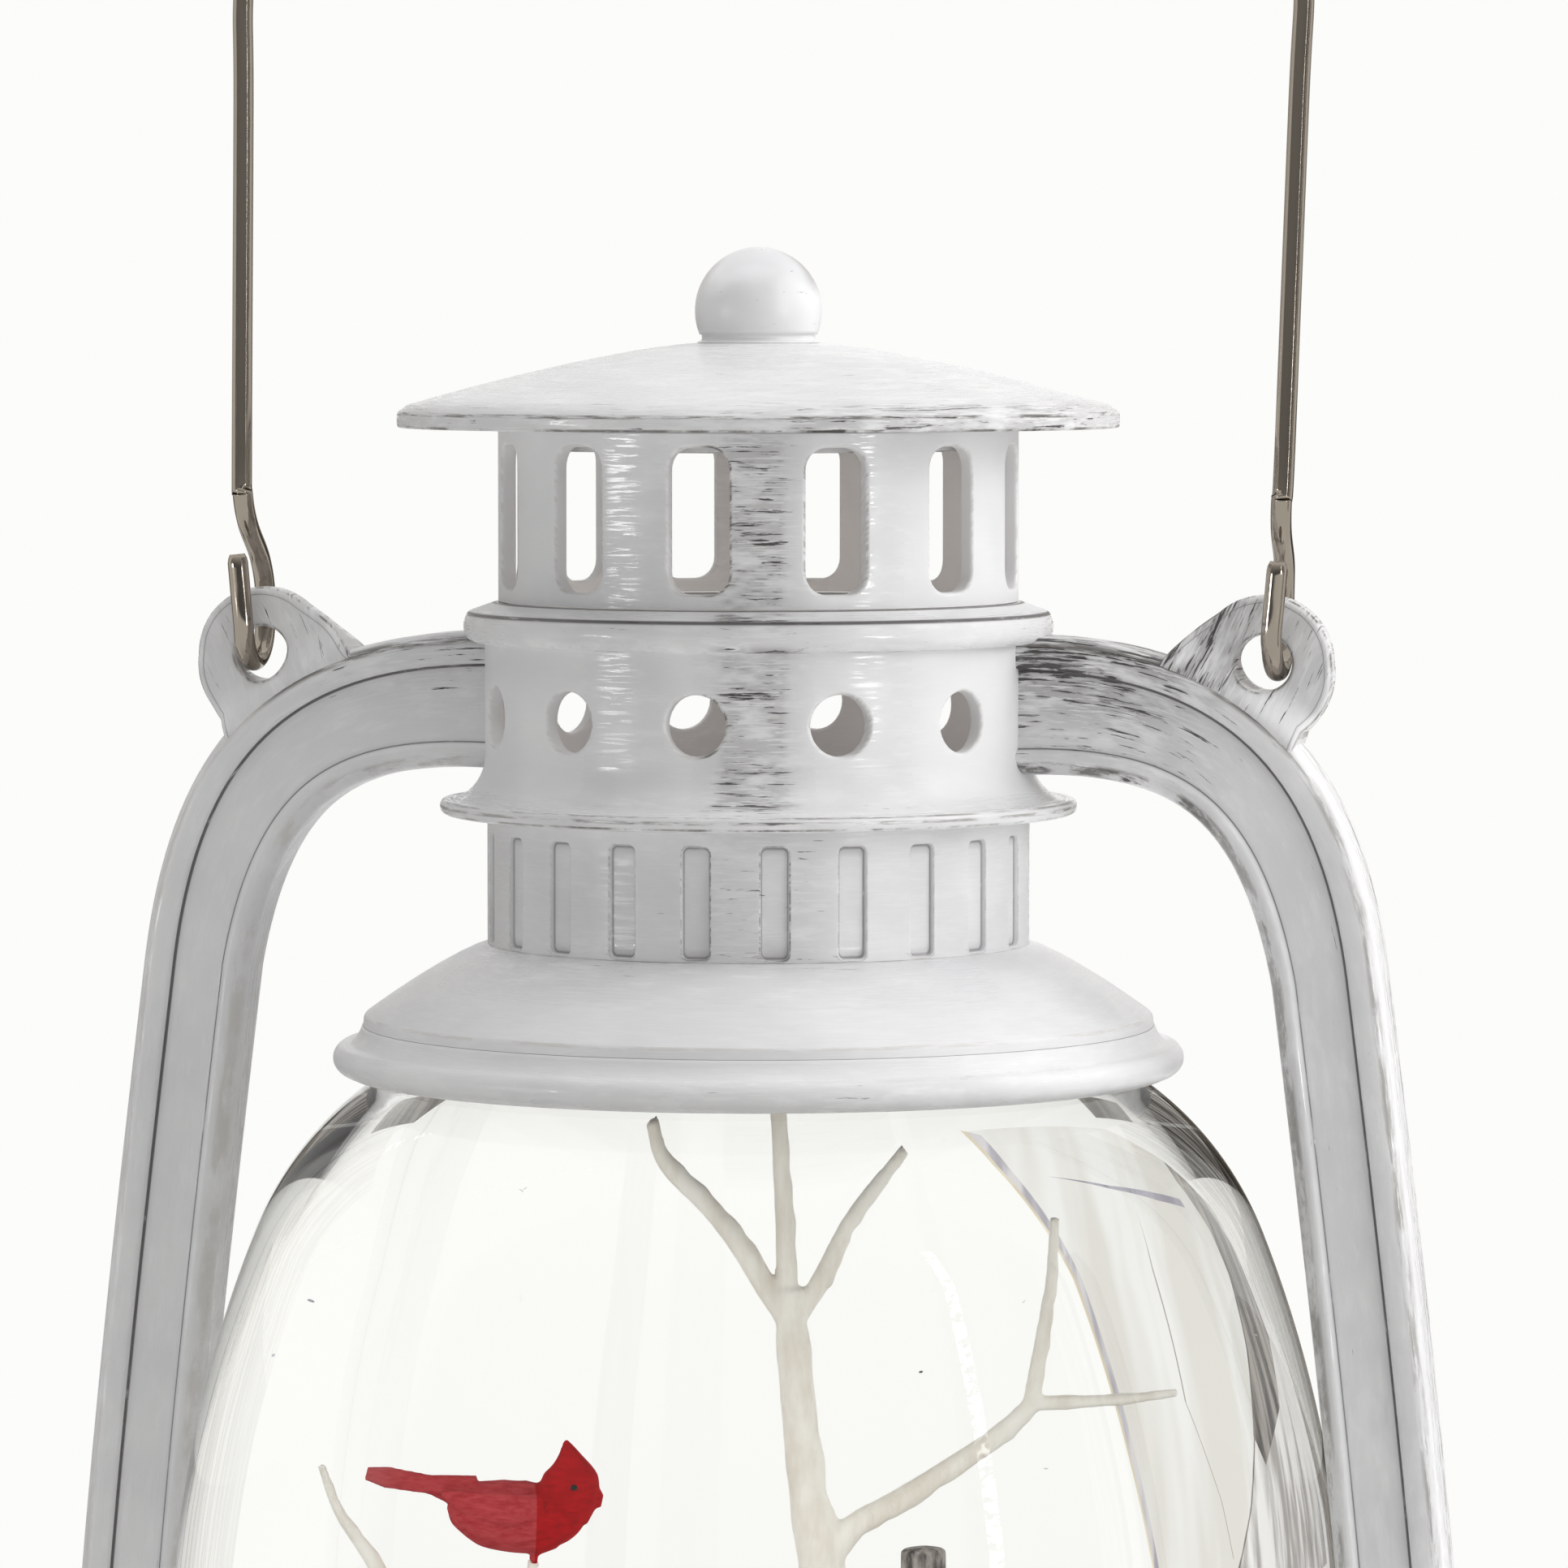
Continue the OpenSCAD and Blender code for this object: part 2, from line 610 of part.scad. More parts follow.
module impeller_pin() {
    color("silver") translate([0, 0, plug_top - 2.5]) union() {
        cylinder(r = shaft_r, h = 2.5 + 0.5 + impeller_h + 0.4);
        translate([0, 0, 2.5 + 0.5 + impeller_h + 0.3]) cylinder(r = shaft_r + 0.7, h = 0.8);
    }
}

module impeller() {
    color("white") translate([0, 0, impeller_z + 2.2]) difference() {
        union() {
            cylinder(r = 3, h = impeller_h - 2.2);
            cylinder(r = 8, h = 0.8);
            ring_of(blade_count) translate([1, -0.5, 0]) cube([impeller_r - 1.2, 1, impeller_h - 2.4]);
        }
        translate([0, 0, -eps]) cylinder(r = shaft_r + 0.05, h = impeller_h);
    }
}

module impeller_magnet() {
    color("dimgray") translate([0, 0, impeller_z]) difference() {
        cylinder(r = 8, h = 2.2 - gap);
        translate([0, 0, -eps]) cylinder(r = shaft_r + 0.05, h = 3);
    }
}

module drive_hub() {
    color("white") translate([0, 0, hub_z]) difference() {
        cylinder(r = 9, h = hub_h - 1.6);
        for (s = [-1, 1]) translate([s * 5.5, 0, hub_h - 2.8]) cylinder(r = 2.6, h = 3);
        translate([0, 0, -eps]) cylinder(r = shaft_r, h = 3);
    }
}

module drive_magnets() {
    color("silver") for (s = [-1, 1]) translate([s * 5.5, 0, hub_z + hub_h - 2.7]) cylinder(r = 2.5, h = 1.6);
}

module motor() {
    color("silver") translate([0, 0, motor_z]) difference() {
        cylinder(r = motor_r, h = motor_h);
        translate([0, 0, motor_h - 4]) cylinder(r = shaft_r + 0.35, h = 5);
    }
}

module motor_shaft() {
    low = motor_z + motor_h - 3.6;
    color("silver") translate([0, 0, low]) cylinder(r = shaft_r - eps, h = hub_z + 2.4 - low);
}

module motor_mount() {
    z0 = box_z + box_h + gap;
    color("white") difference() {
        union() {
            translate([-box_l / 2 + 4, -14, z0]) cube([box_l - 8, 28, mount_t - gap]);
            translate([0, 0, z0]) cylinder(r = motor_r + 2, h = mount_t + 5);
        }
        translate([0, 0, z0 + mount_t - gap]) cylinder(r = motor_r + gap, h = 6);
    }
}

module led_board() {
    color("green") translate([0, 0, plug_z - 2.6]) difference() {
        cylinder(r = globe_neck_r - 8, h = 1.2);
        translate([0, 0, -eps]) cylinder(r = 12, h = 2);
    }
}

module leds() {
    color("khaki") ring_of(4, 45) translate([0, -20, plug_z - 1.4 + eps]) cylinder(r = 2, h = 1.2);
}

// ---- base ----

tank_crown = tank_r - 7;
// Outline of the tank's outside, grown by g
function tank_outline(g) = concat(
    [[0, tank_z - g], [tank_r - 1.2 + g, tank_z - g], [tank_r + g, tank_z + 1.2], [tank_r + g, tank_side_top]],
    arc([tank_crown, tank_side_top], 7 + g, 0, 72, 10),
    [[globe_neck_r + 8.5, tank_top + g], [0, tank_top + g]]);

module tank_solid(g) {
    turned(tank_outline(g));
}

module base_tank() {
    color("white") difference() {
        tank_solid(0);
        turned(concat([[0, tank_z - 1], [tank_r - base_wall, tank_z - 1], [tank_r - base_wall, tank_side_top]],
            arc([tank_crown, tank_side_top], 7 - base_wall, 0, 72, 10),
            [[globe_neck_r + 8.5, tank_top - base_wall], [0, tank_top - base_wall]]));
        translate([0, 0, tank_top - 4]) cylinder(r = globe_neck_r + 2.2, h = 6);
        for (side = [0, 1]) mirror([side, 0, 0]) arm_screw_hole();
    }
}

module globe_seat() {
    r0 = globe_neck_r + gap;
    lip = globe_neck_r + 5;
    color("white") difference() {
        turned([[r0, plug_z - 1], [r0 + 2, plug_z - 1], [r0 + 2, tank_top + gap], [r0 + 7.5, tank_top + gap],
            [r0 + 7.5, tank_top + 1.6], [lip + 0.8, tank_top + 3], [lip + 0.8, seat_top - 2.4],
            [lip - 0.2, seat_top], [r0, seat_top]]);
        globe_solid(gap);
        translate([0, 0, plug_z - 2]) cylinder(r = globe_neck_r + 1.9, h = 3);
    }
}

cover_r = foot_r - 3;
ledge_z = cover_z + cover_t;
ledge_t = 1.6;
post_h = 7.5;
spigot_r = tank_r - base_wall - gap;

module base_foot() {
    color("white") difference() {
        union() {
            turned(concat(
                [[cover_r + gap, foot_z], [foot_r, foot_z]],
                arc([foot_r, foot_z + 1.6], 1.6, -80, 60, 6),
                [[foot_r - 1.6, foot_z + 4.4], [foot_r - 1.2, tank_z - 2.4], [tank_r - 1.4, tank_z - gap],
                 [spigot_r, tank_z - gap], [spigot_r, tank_z + 3], [spigot_r - 1.5, tank_z + 3],
                 [spigot_r - 1.5, tank_z], [foot_r - 4, tank_z - 2.4], [foot_r - 4, ledge_z + ledge_t],
                 [screw_ring - 3.4, ledge_z + ledge_t],
                 [screw_ring - 3.4, ledge_z], [cover_r + gap, ledge_z]]));
            ring_of(4, 45) translate([0, -screw_ring, ledge_z + eps]) cylinder(r = 3, h = post_h);
        }
        ring_of(4, 45) translate([0, -screw_ring, ledge_z - 1]) cylinder(r = 1.2 + eps, h = post_h);
    }
}

// Tabs, posts and openings of the bottom cover
door_l = box_l - 2 * box_wall - 1;
door_w = box_w - 2 * box_wall - 1;
switch_slot = [switch_travel + 5, 4];
screw_ring = foot_r - 8;

module bottom_cover() {
    color("whitesmoke") translate([0, 0, cover_z]) difference() {
        cylinder(r = cover_r, h = cover_t - gap);
        translate([-door_l / 2, -door_w / 2, -eps]) cube([door_l, door_w, cover_t + 1]);
        translate([-switch_slot[0] / 2, switch_y - switch_slot[1] / 2, -eps])
            cube([switch_slot[0], switch_slot[1], cover_t + 1]);
        ring_of(4, 45) translate([0, -screw_ring, -eps]) cylinder(r = 1.4, h = 3);
    }
}

module cover_screws() {
    color("silver") ring_of(4, 45) translate([0, -screw_ring, cover_z]) union() {
        translate([0, 0, -0.9]) cylinder(r = 2.6, h = 0.9 - eps);
        translate([0, 0, -0.1]) cylinder(r = 1.2, h = post_h - 0.5 + cover_t - 1);
    }
}

module rubber_pads() {
    color("dimgray") ring_of(4, 0) translate([0, -screw_ring, 0]) cylinder(r = 4, h = pad_h - eps);
}

module battery_box() {
    color("black") translate([0, 0, box_z]) difference() {
        translate([-box_l / 2, -box_w / 2, 0]) cube([box_l, box_w, box_h]);
        translate([-box_l / 2 + box_wall, -box_w / 2 + box_wall, -eps])
            cube([box_l - 2 * box_wall, box_w - 2 * box_wall, box_h - box_wall + eps]);
    }
}

module batteries() {
    color("steelblue") for (i = [-1:1])
        translate([-cell_l / 2, i * cell_pitch, cell_z]) rotate([0, 90, 0]) union() {
            cylinder(r = cell_r, h = cell_l - 1);
            cylinder(r = 2.6, h = cell_l);
        }
}

module battery_contacts() {
    color("silver") for (i = [-1:1], s = [-1, 1])
        translate([s * (box_l / 2 - box_wall - 1.1) - 1, i * cell_pitch - 4, box_z + 3])
            cube([2, 8, 9]);
}

module battery_door() {
    color("whitesmoke") translate([-door_l / 2 + run, -door_w / 2 + run, cover_z])
        cube([door_l - 2 * run, door_w - 2 * run, cover_t - run]);
}

board = [32, 12, 1.4];
board_gap = 2;
switch = [16, 8, 6];
tab = [4.4, 3.2, 3.4];
tab_proud = 0.9;

module circuit_board() {
    color("green") translate([-board[0] / 2, -box_w / 2 - board_gap - board[1], box_z]) cube(board);
}

module switch_body() {
    color("dimgray") translate([0, switch_y, box_z]) difference() {
        translate([-switch[0] / 2, -switch[1] / 2, 0]) cube(switch);
        translate([-switch_slot[0] / 2, -tab[1] / 2 - 2 * run, -eps]) cube([switch_slot[0], tab[1] + 4 * run, 3]);
    }
}

module switch_slider() {
    color("black") translate([-switch_travel / 2 - tab[0] / 2, switch_y - tab[1] / 2, pad_h - tab_proud]) cube(tab);
}

cap_knob();
knob_nut();
cap_roof();
upper_gallery();
lower_gallery();
gallery_screws();
fluted_neck();
globe_hood();
hood_gasket();
globe();
fill_plug();
left_arm();
right_arm();
bail_handle();
globe_gasket();
scene_plug();
snow_mound();
main_tree();
left_sapling();
birch_post();
cardinal();
impeller_pin();
impeller();
impeller_magnet();
drive_hub();
drive_magnets();
motor();
motor_mount();
led_board();
leds();
globe_seat();
base_tank();
base_foot();
bottom_cover();
cover_screws();
arm_screws();
rubber_pads();
battery_box();
batteries();
battery_contacts();
battery_door();
circuit_board();
switch_body();
switch_slider();
motor_shaft();
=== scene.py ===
"""Dresses the hurricane lantern water globe: painted castings, clear globe, winter scene and wire bail."""

import math

import bmesh
import bpy
import numpy as np
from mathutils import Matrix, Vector


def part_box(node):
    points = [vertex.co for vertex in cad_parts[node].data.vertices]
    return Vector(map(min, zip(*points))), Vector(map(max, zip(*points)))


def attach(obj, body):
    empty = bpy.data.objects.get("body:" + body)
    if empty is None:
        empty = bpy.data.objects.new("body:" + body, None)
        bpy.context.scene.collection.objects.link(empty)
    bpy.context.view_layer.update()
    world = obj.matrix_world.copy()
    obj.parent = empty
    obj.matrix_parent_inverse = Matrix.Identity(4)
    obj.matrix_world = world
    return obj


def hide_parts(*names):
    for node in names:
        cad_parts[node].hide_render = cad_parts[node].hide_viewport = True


bl_info = {
    "name": "Hurricane Water Globe",
    "version": (1, 0, 0),
    "blender": (4, 5, 0),
    "location": "View3D > Sidebar > Lantern",
    "description": "Builds the visible surfaces of a painted hurricane lantern with a water globe",
    "category": "Add Mesh",
}

MM = 0.001
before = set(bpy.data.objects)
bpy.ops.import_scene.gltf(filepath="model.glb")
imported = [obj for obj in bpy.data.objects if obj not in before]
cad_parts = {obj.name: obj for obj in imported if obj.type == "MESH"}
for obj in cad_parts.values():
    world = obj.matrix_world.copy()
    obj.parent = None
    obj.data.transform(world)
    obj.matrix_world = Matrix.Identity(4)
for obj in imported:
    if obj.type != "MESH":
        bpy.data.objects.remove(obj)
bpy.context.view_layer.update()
BODY = "lamp_body"


def span(node):
    """Lowest and highest corners of a CAD node, in millimetres."""
    low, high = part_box(node)
    return np.array(low) / MM, np.array(high) / MM


KNOB_LOW, KNOB_HIGH = span("cap_knob")
ROOF_LOW, ROOF_HIGH = span("cap_roof")
UPPER_LOW, UPPER_HIGH = span("upper_gallery")
LOWER_LOW, LOWER_HIGH = span("lower_gallery")
NECK_LOW, NECK_HIGH = span("fluted_neck")
HOOD_LOW, HOOD_HIGH = span("globe_hood")
GLOBE_LOW, GLOBE_HIGH = span("globe")
SEAT_LOW, SEAT_HIGH = span("globe_seat")
TANK_LOW, TANK_HIGH = span("base_tank")
ARM_LOW, ARM_HIGH = span("right_arm")
MOUND_LOW, MOUND_HIGH = span("snow_mound")

# Sizes in millimetres, on the lines of the CAD part
WALL = 1.5
OPENINGS = 12
LOWER_R = 26.3
FLARE = 4.6
FLANGE_Z = LOWER_LOW[2]
BEAD_R = 28.35
FLUTES = 22
GLOBE_NECK = 36.0
GLOBE_MID = 106.0
GLOBE_WALL = 2.4
PLUG_TOP = float(MOUND_LOW[2]) - 0.1
MOUND_R = float(MOUND_HIGH[0])
SCENE_TURN = 13.0
# Distance at which the copies of a sector are welded
WELD = 0.004 * MM


# ---- colours, nodes and materials ----

def linear(hex_code):
    """A sRGB hex colour as linear RGBA."""
    parts = [int(hex_code[i:i + 2], 16) / 255 for i in (1, 3, 5)]
    return (*[p / 12.92 if p <= 0.04045 else ((p + 0.055) / 1.055) ** 2.4 for p in parts], 1.0)


MATH, VECTOR, MIX = "ShaderNodeMath", "ShaderNodeVectorMath", "ShaderNodeMix"
RANGE, NOISE, BUMP = "ShaderNodeMapRange", "ShaderNodeTexNoise", "ShaderNodeBump"
COORDS, ATTRIBUTE, OUTPUT = "ShaderNodeTexCoord", "ShaderNodeAttribute", "ShaderNodeOutputMaterial"
MULTIPLY, ADD, SUBTRACT = {"operation": "MULTIPLY"}, {"operation": "ADD"}, {"operation": "SUBTRACT"}
MAXIMUM, LENGTH = {"operation": "MAXIMUM"}, {"operation": "LENGTH"}
COLOUR, FLOAT = {"data_type": "RGBA"}, {"data_type": "FLOAT"}
# A range with soft ends carries low..high to 0..1
SOFT = {"interpolation_type": "SMOOTHSTEP"}


def add(tree, kind, settings=None, *values, **named):
    """One node. Values and links fill its inputs in order or by name, and a node links by its output."""
    node = tree.nodes.new(kind)
    for key, value in (settings or {}).items():
        setattr(node, key, value)
    sockets = [socket for socket in node.inputs if socket.enabled]
    pairs = list(zip(sockets, values)) + [(node.inputs[key.replace("_", " ")], named[key]) for key in named]
    for socket, value in pairs:
        if isinstance(value, bpy.types.Node):
            value = next(output for output in value.outputs if output.enabled)
        if isinstance(value, bpy.types.NodeSocket):
            tree.links.new(value, socket)
        else:
            socket.default_value = value
    return node


def new_material(name):
    """An empty node material and its tree."""
    finish = bpy.data.materials.new(name)
    finish.use_nodes = True
    finish.node_tree.nodes.clear()
    return finish, finish.node_tree


def brushed_enamel():
    """Whitewashed zinc casting: white enamel, dry-brushed with charcoal so that its ridges look rubbed."""
    look = bpy.context.scene.lantern_finish
    finish, tree = new_material("brushed_enamel")
    brush = add(tree, ATTRIBUTE, {"attribute_name": "brush"}).outputs["Vector"]
    heavy = add(tree, ATTRIBUTE, {"attribute_name": "heavy"}).outputs["Fac"]
    edge = add(tree, ATTRIBUTE, {"attribute_name": "edge"}).outputs["Fac"]
    # Lumps in a millimetre along and across the bristles, then scale, detail and roughness of each noise.
    # Bristle marks: about 8 mm long and 0.4 mm apart, in bunches of 1.5 mm, with finer hairs inside them
    marks, hairs, gaps, bunches, patches, breaks = [
        add(tree, NOISE, Vector=add(tree, VECTOR, MULTIPLY, brush, (along, along, across)), Scale=scale / MM,
            Detail=detail, Roughness=rough)
        for along, across, scale, detail, rough in (
            (0.12, 2.7, 1.0, 5.0, 0.7), (0.4, 6.0, 1.0, 4.0, 0.6), (0.3, 5.0, 1.03, 2.0, 0.5),
            (0.22, 0.7, 1.0, 3.0, 0.6), (0.1, 0.1, 1.0, 2.0, 0.5), (0.16, 1.4, 1.0, 5.0, 0.7))]
    mixed = add(tree, MATH, ADD, add(tree, MATH, MULTIPLY, marks, 0.6), add(tree, MATH, MULTIPLY, hairs, 0.4))
    amount = add(tree, MATH, MULTIPLY, heavy, add(tree, RANGE, SOFT, bunches, 0.28, 0.55))
    level = add(tree, MATH, SUBTRACT, 0.72, add(tree, MATH, MULTIPLY, amount, 0.2))
    strokes = add(tree, RANGE, SOFT, mixed, level, add(tree, MATH, ADD, level, 0.045))
    clean = add(tree, MATH, SUBTRACT, 1.0,
                add(tree, MATH, MULTIPLY, add(tree, RANGE, SOFT, gaps, 0.54, 0.6), 0.85))
    thick = add(tree, MATH, ADD, add(tree, MATH, MULTIPLY, add(tree, RANGE, SOFT, heavy, 0.7, 1.1), 0.3),
                0.26)
    wash = add(tree, MATH, MULTIPLY, add(tree, MATH, MULTIPLY, amount, thick), clean)
    worn = add(tree, MATH, MULTIPLY, add(tree, RANGE, SOFT, edge, 0.3, 0.95),
               add(tree, RANGE, SOFT, breaks, 0.42, 0.6))
    dark_rim = add(tree, MATH, MULTIPLY, worn, add(tree, RANGE, SOFT, heavy, 0.24, 0.6))
    # Negative edge marks, in hollow corners, creases and sunk panels, get painted shade: grey in every hollow
    # and a broken dark line in the deepest creases.
    deep = add(tree, MATH, MULTIPLY, edge, -1.0)
    hollow = add(tree, RANGE, SOFT, deep, 0.05, 0.9)
    groove_shade = add(tree, MATH, MULTIPLY, add(tree, RANGE, SOFT, deep, 0.6, 0.9),
                 add(tree, RANGE, SOFT, breaks, 0.26, 0.42))
    cloudy = add(tree, MATH, MULTIPLY, add(tree, RANGE, SOFT, patches, 0.35, 0.7), 0.5)
    colour = add(tree, MIX, COLOUR, cloudy, linear(look.paint), linear(look.paint_shade))
    colour = add(tree, MIX, COLOUR, wash, colour, linear(look.wash))
    # The grey in hollows and the dark line in grooves are painted shade. The rubbed edge, dark rims and
    # strokes are real dry-brushed charcoal.
    for mask, share, paint in ((hollow, 0.5, look.hollow_shade), (worn, 0.3, look.rubbed_edge),
                               (dark_rim, 0.8, look.charcoal), (groove_shade, 0.85, look.charcoal),
                               (strokes, 0.95, look.charcoal)):
        colour = add(tree, MIX, COLOUR, add(tree, MATH, MULTIPLY, mask, share), colour, linear(paint))
    # Away from the brushed zones the enamel is smooth, so that outlines stay clean
    brushed = add(tree, RANGE, SOFT, heavy, 0.1, 0.35)
    normal = add(tree, BUMP, Height=add(tree, MATH, MULTIPLY, marks, brushed), Distance=0.02 * MM,
                 Strength=0.25)
    gloss = add(tree, MATH, MULTIPLY, add(tree, RANGE, SOFT, gaps, 0.53, 0.58), brushed)
    rough = add(tree, RANGE, Value=gloss, To_Min=0.4, To_Max=0.15)
    shader = add(tree, "ShaderNodeBsdfPrincipled", Base_Color=colour, Roughness=rough, Normal=normal)
    add(tree, OUTPUT, Surface=shader)
    return finish


def silvered_knob():
    """The knob's enamel is rubbed through to pewter-coloured metallic paint over its crown."""
    look = bpy.context.scene.lantern_finish
    finish, tree = new_material("silvered_knob")
    coords = add(tree, COORDS).outputs["Object"]
    cloud = add(tree, NOISE, Vector=coords, Scale=0.35 / MM, Detail=4.0, Roughness=0.6)
    level = add(tree, VECTOR, MULTIPLY, coords, (0.5, 0.5, 3.0))
    scratches = add(tree, NOISE, Vector=level, Scale=0.6 / MM, Detail=4.0, Roughness=0.7)
    height = add(tree, "ShaderNodeSeparateXYZ", Vector=coords).outputs["Z"]
    crown = add(tree, RANGE, SOFT, height, (KNOB_HIGH[2] - 7.5) * MM, (KNOB_HIGH[2] - 1.0) * MM)
    bare = add(tree, RANGE, SOFT, add(tree, MATH, ADD, crown, add(tree, MATH, SUBTRACT, cloud, 0.5)), 0.25,
               0.95)
    nick = add(tree, RANGE, SOFT, scratches, 0.66, 0.72)
    colour = add(tree, MIX, COLOUR, bare, linear(look.paint), linear(look.pewter))
    colour = add(tree, MIX, COLOUR, add(tree, MATH, MULTIPLY, nick, 0.8), colour, linear(look.charcoal))
    metallic = add(tree, MATH, MULTIPLY, bare, 0.7)
    shader = add(tree, "ShaderNodeBsdfPrincipled", Base_Color=colour, Metallic=metallic,
                 Roughness=add(tree, MATH, ADD, add(tree, MATH, MULTIPLY, cloud, 0.3), 0.2),
                 Normal=add(tree, BUMP, Height=scratches, Distance=0.03 * MM, Strength=0.4))
    add(tree, OUTPUT, Surface=shader)
    return finish


def nickel_wire():
    """Drawn steel wire, nickel-plated: mirror-like, with faint lines along its length."""
    finish, tree = new_material("nickel_wire")
    drawn = add(tree, VECTOR, MULTIPLY, add(tree, COORDS).outputs["Object"], (3.0, 3.0, 0.15))
    lines = add(tree, NOISE, Vector=drawn, Scale=1.5 / MM, Detail=3.0, Roughness=0.6)
    rough = add(tree, RANGE, Value=lines, To_Min=0.04, To_Max=0.14)
    shader = add(tree, "ShaderNodeBsdfPrincipled", Base_Color=linear("#9C9388"), Metallic=1.0,
                 Roughness=rough, Normal=add(tree, BUMP, Height=lines, Distance=0.01 * MM, Strength=0.3))
    add(tree, OUTPUT, Surface=shader)
    return finish


def clear_wall(name, ior):
    """Injection-moulded acrylic, polished. The wetted inside needs the ratio of acrylic to water."""
    finish, tree = new_material(name)
    shader = add(tree, "ShaderNodeBsdfPrincipled", Base_Color=linear("#FFFFFE"), Roughness=0.0, IOR=ior,
                 Transmission_Weight=1.0)
    add(tree, OUTPUT, Surface=shader)
    return finish


def mottled(name, light, dark, per_mm, rough, grain_mm, metallic=0.0, stretch=(1, 1, 1)):
    """A moulded, cast or painted surface with soft colour change and a fine grain."""
    finish, tree = new_material(name)
    coords = add(tree, VECTOR, MULTIPLY, add(tree, COORDS).outputs["Object"], stretch)
    cloud = add(tree, NOISE, Vector=coords, Scale=per_mm / MM, Detail=4.0, Roughness=0.6)
    grain = add(tree, NOISE, Vector=coords, Scale=per_mm * 8 / MM, Detail=2.0, Roughness=0.5)
    colour = add(tree, MIX, COLOUR, add(tree, RANGE, SOFT, cloud, 0.35, 0.68), linear(light), linear(dark))
    spread = add(tree, RANGE, Value=grain, To_Min=max(0.03, rough - 0.1), To_Max=rough + 0.1)
    shader = add(tree, "ShaderNodeBsdfPrincipled", Base_Color=colour, Roughness=spread,
                 Metallic=metallic, Normal=add(tree, BUMP, Height=grain, Distance=grain_mm * MM,
                                               Strength=0.5))
    add(tree, OUTPUT, Surface=shader)
    return finish


def painted_bird():
    """Hand-painted resin with feather strokes: a deep red head and breast, and a back painted paler red beyond
    a straight split across the body. The paler back is painted light, a refraction boundary copied into the
    colour.
    """
    look = bpy.context.scene.lantern_finish
    finish, tree = new_material("painted_bird")
    coords = add(tree, COORDS).outputs["Object"]
    strokes = add(tree, NOISE, Vector=add(tree, VECTOR, MULTIPLY, coords, (0.5, 1.0, 1.6)), Scale=1.6 / MM,
                  Detail=4.0, Roughness=0.7)
    # The head mask is a straight split across the body. The paler red behind it is painted light.
    head = add(tree, ATTRIBUTE, {"attribute_name": "head"}).outputs["Fac"]
    back = add(tree, MIX, COLOUR, add(tree, RANGE, SOFT, strokes, 0.3, 0.75), linear(look.bird_back_painted_light),
               linear(look.bird_back_shade))
    front = add(tree, MIX, COLOUR, add(tree, RANGE, SOFT, strokes, 0.35, 0.8), linear(look.bird_head),
                linear(look.bird_head_shade))
    colour = add(tree, MIX, COLOUR, add(tree, RANGE, SOFT, head, 0.4, 0.6), back, front)
    shader = add(tree, "ShaderNodeBsdfPrincipled", Base_Color=colour, Roughness=0.7, Specular_IOR_Level=0.05,
                 Normal=add(tree, BUMP, Height=strokes, Distance=0.08 * MM, Strength=0.6))
    add(tree, OUTPUT, Surface=shader)
    return finish


ACRYLIC_INDEX = 1.49
WATER_INDEX = 1.333
LENGTHWAYS = (1, 1, 0.35)
BARK_STREAKS = (2.2, 2.2, 0.5)
# Light and dark colour, lumps in a millimetre, roughness, depth of grain in mm, share of metal and stretch
MOTTLED = {
    "painted_twig": ("#FFFCF4", "#EFE8DC", 0.4, 0.7, 0.12, 0.0, LENGTHWAYS),
    "birch_bark": ("#A8A19B", "#4B4542", 0.8, 0.75, 0.15, 0.0, BARK_STREAKS),
    "sifted_snow": ("#F7F8FA", "#E3E7EE", 0.5, 0.6, 0.25),
    "silver_glitter": ("#E9EDF2", "#B9C2CE", 2.0, 0.15, 0.01, 1.0),
    "bead_black": ("#0B0B0C", "#161617", 1.0, 0.2, 0.01),
    "black_rubber": ("#2A2A2B", "#1C1C1D", 0.6, 0.75, 0.06),
    "grey_rubber": ("#6B6B6C", "#565657", 0.6, 0.8, 0.06),
    "white_abs": ("#E9E8E4", "#DEDDD8", 0.2, 0.45, 0.03),
    "black_abs": ("#1B1B1C", "#242425", 0.2, 0.5, 0.03),
    "plated_steel": ("#C4C4C6", "#A9A9AC", 0.5, 0.28, 0.01, 1.0),
    "sintered_magnet": ("#3B3B3E", "#2A2A2C", 1.0, 0.45, 0.02, 0.7),
    "green_laminate": ("#1E6B3A", "#165430", 0.4, 0.4, 0.02),
    "warm_lens": ("#F4E8C0", "#EBDCA8", 0.8, 0.2, 0.01),
    "cell_sleeve": ("#4A6285", "#3C5272", 0.15, 0.35, 0.01)}
MAKERS = {
    "brushed_enamel": brushed_enamel, "silvered_knob": silvered_knob, "nickel_wire": nickel_wire,
    "acrylic_outside": lambda: clear_wall("acrylic_outside", ACRYLIC_INDEX),
    "acrylic_wetted": lambda: clear_wall("acrylic_wetted", ACRYLIC_INDEX / WATER_INDEX),
    "painted_bird": painted_bird}
MATERIALS = {}


def material(name):
    """Each finish is made once, on first use."""
    if name not in MATERIALS:
        MATERIALS[name] = MAKERS[name]() if name in MAKERS else mottled(name, *MOTTLED[name])
    return MATERIALS[name]


# ---- mesh helpers ----

def placed(name, data):
    """A new object of the scene that shows this data."""
    item = bpy.data.objects.new(name, data)
    bpy.context.scene.collection.objects.link(item)
    return item


def smoothed(mesh):
    mesh.polygons.foreach_set("use_smooth", [True] * len(mesh.polygons))


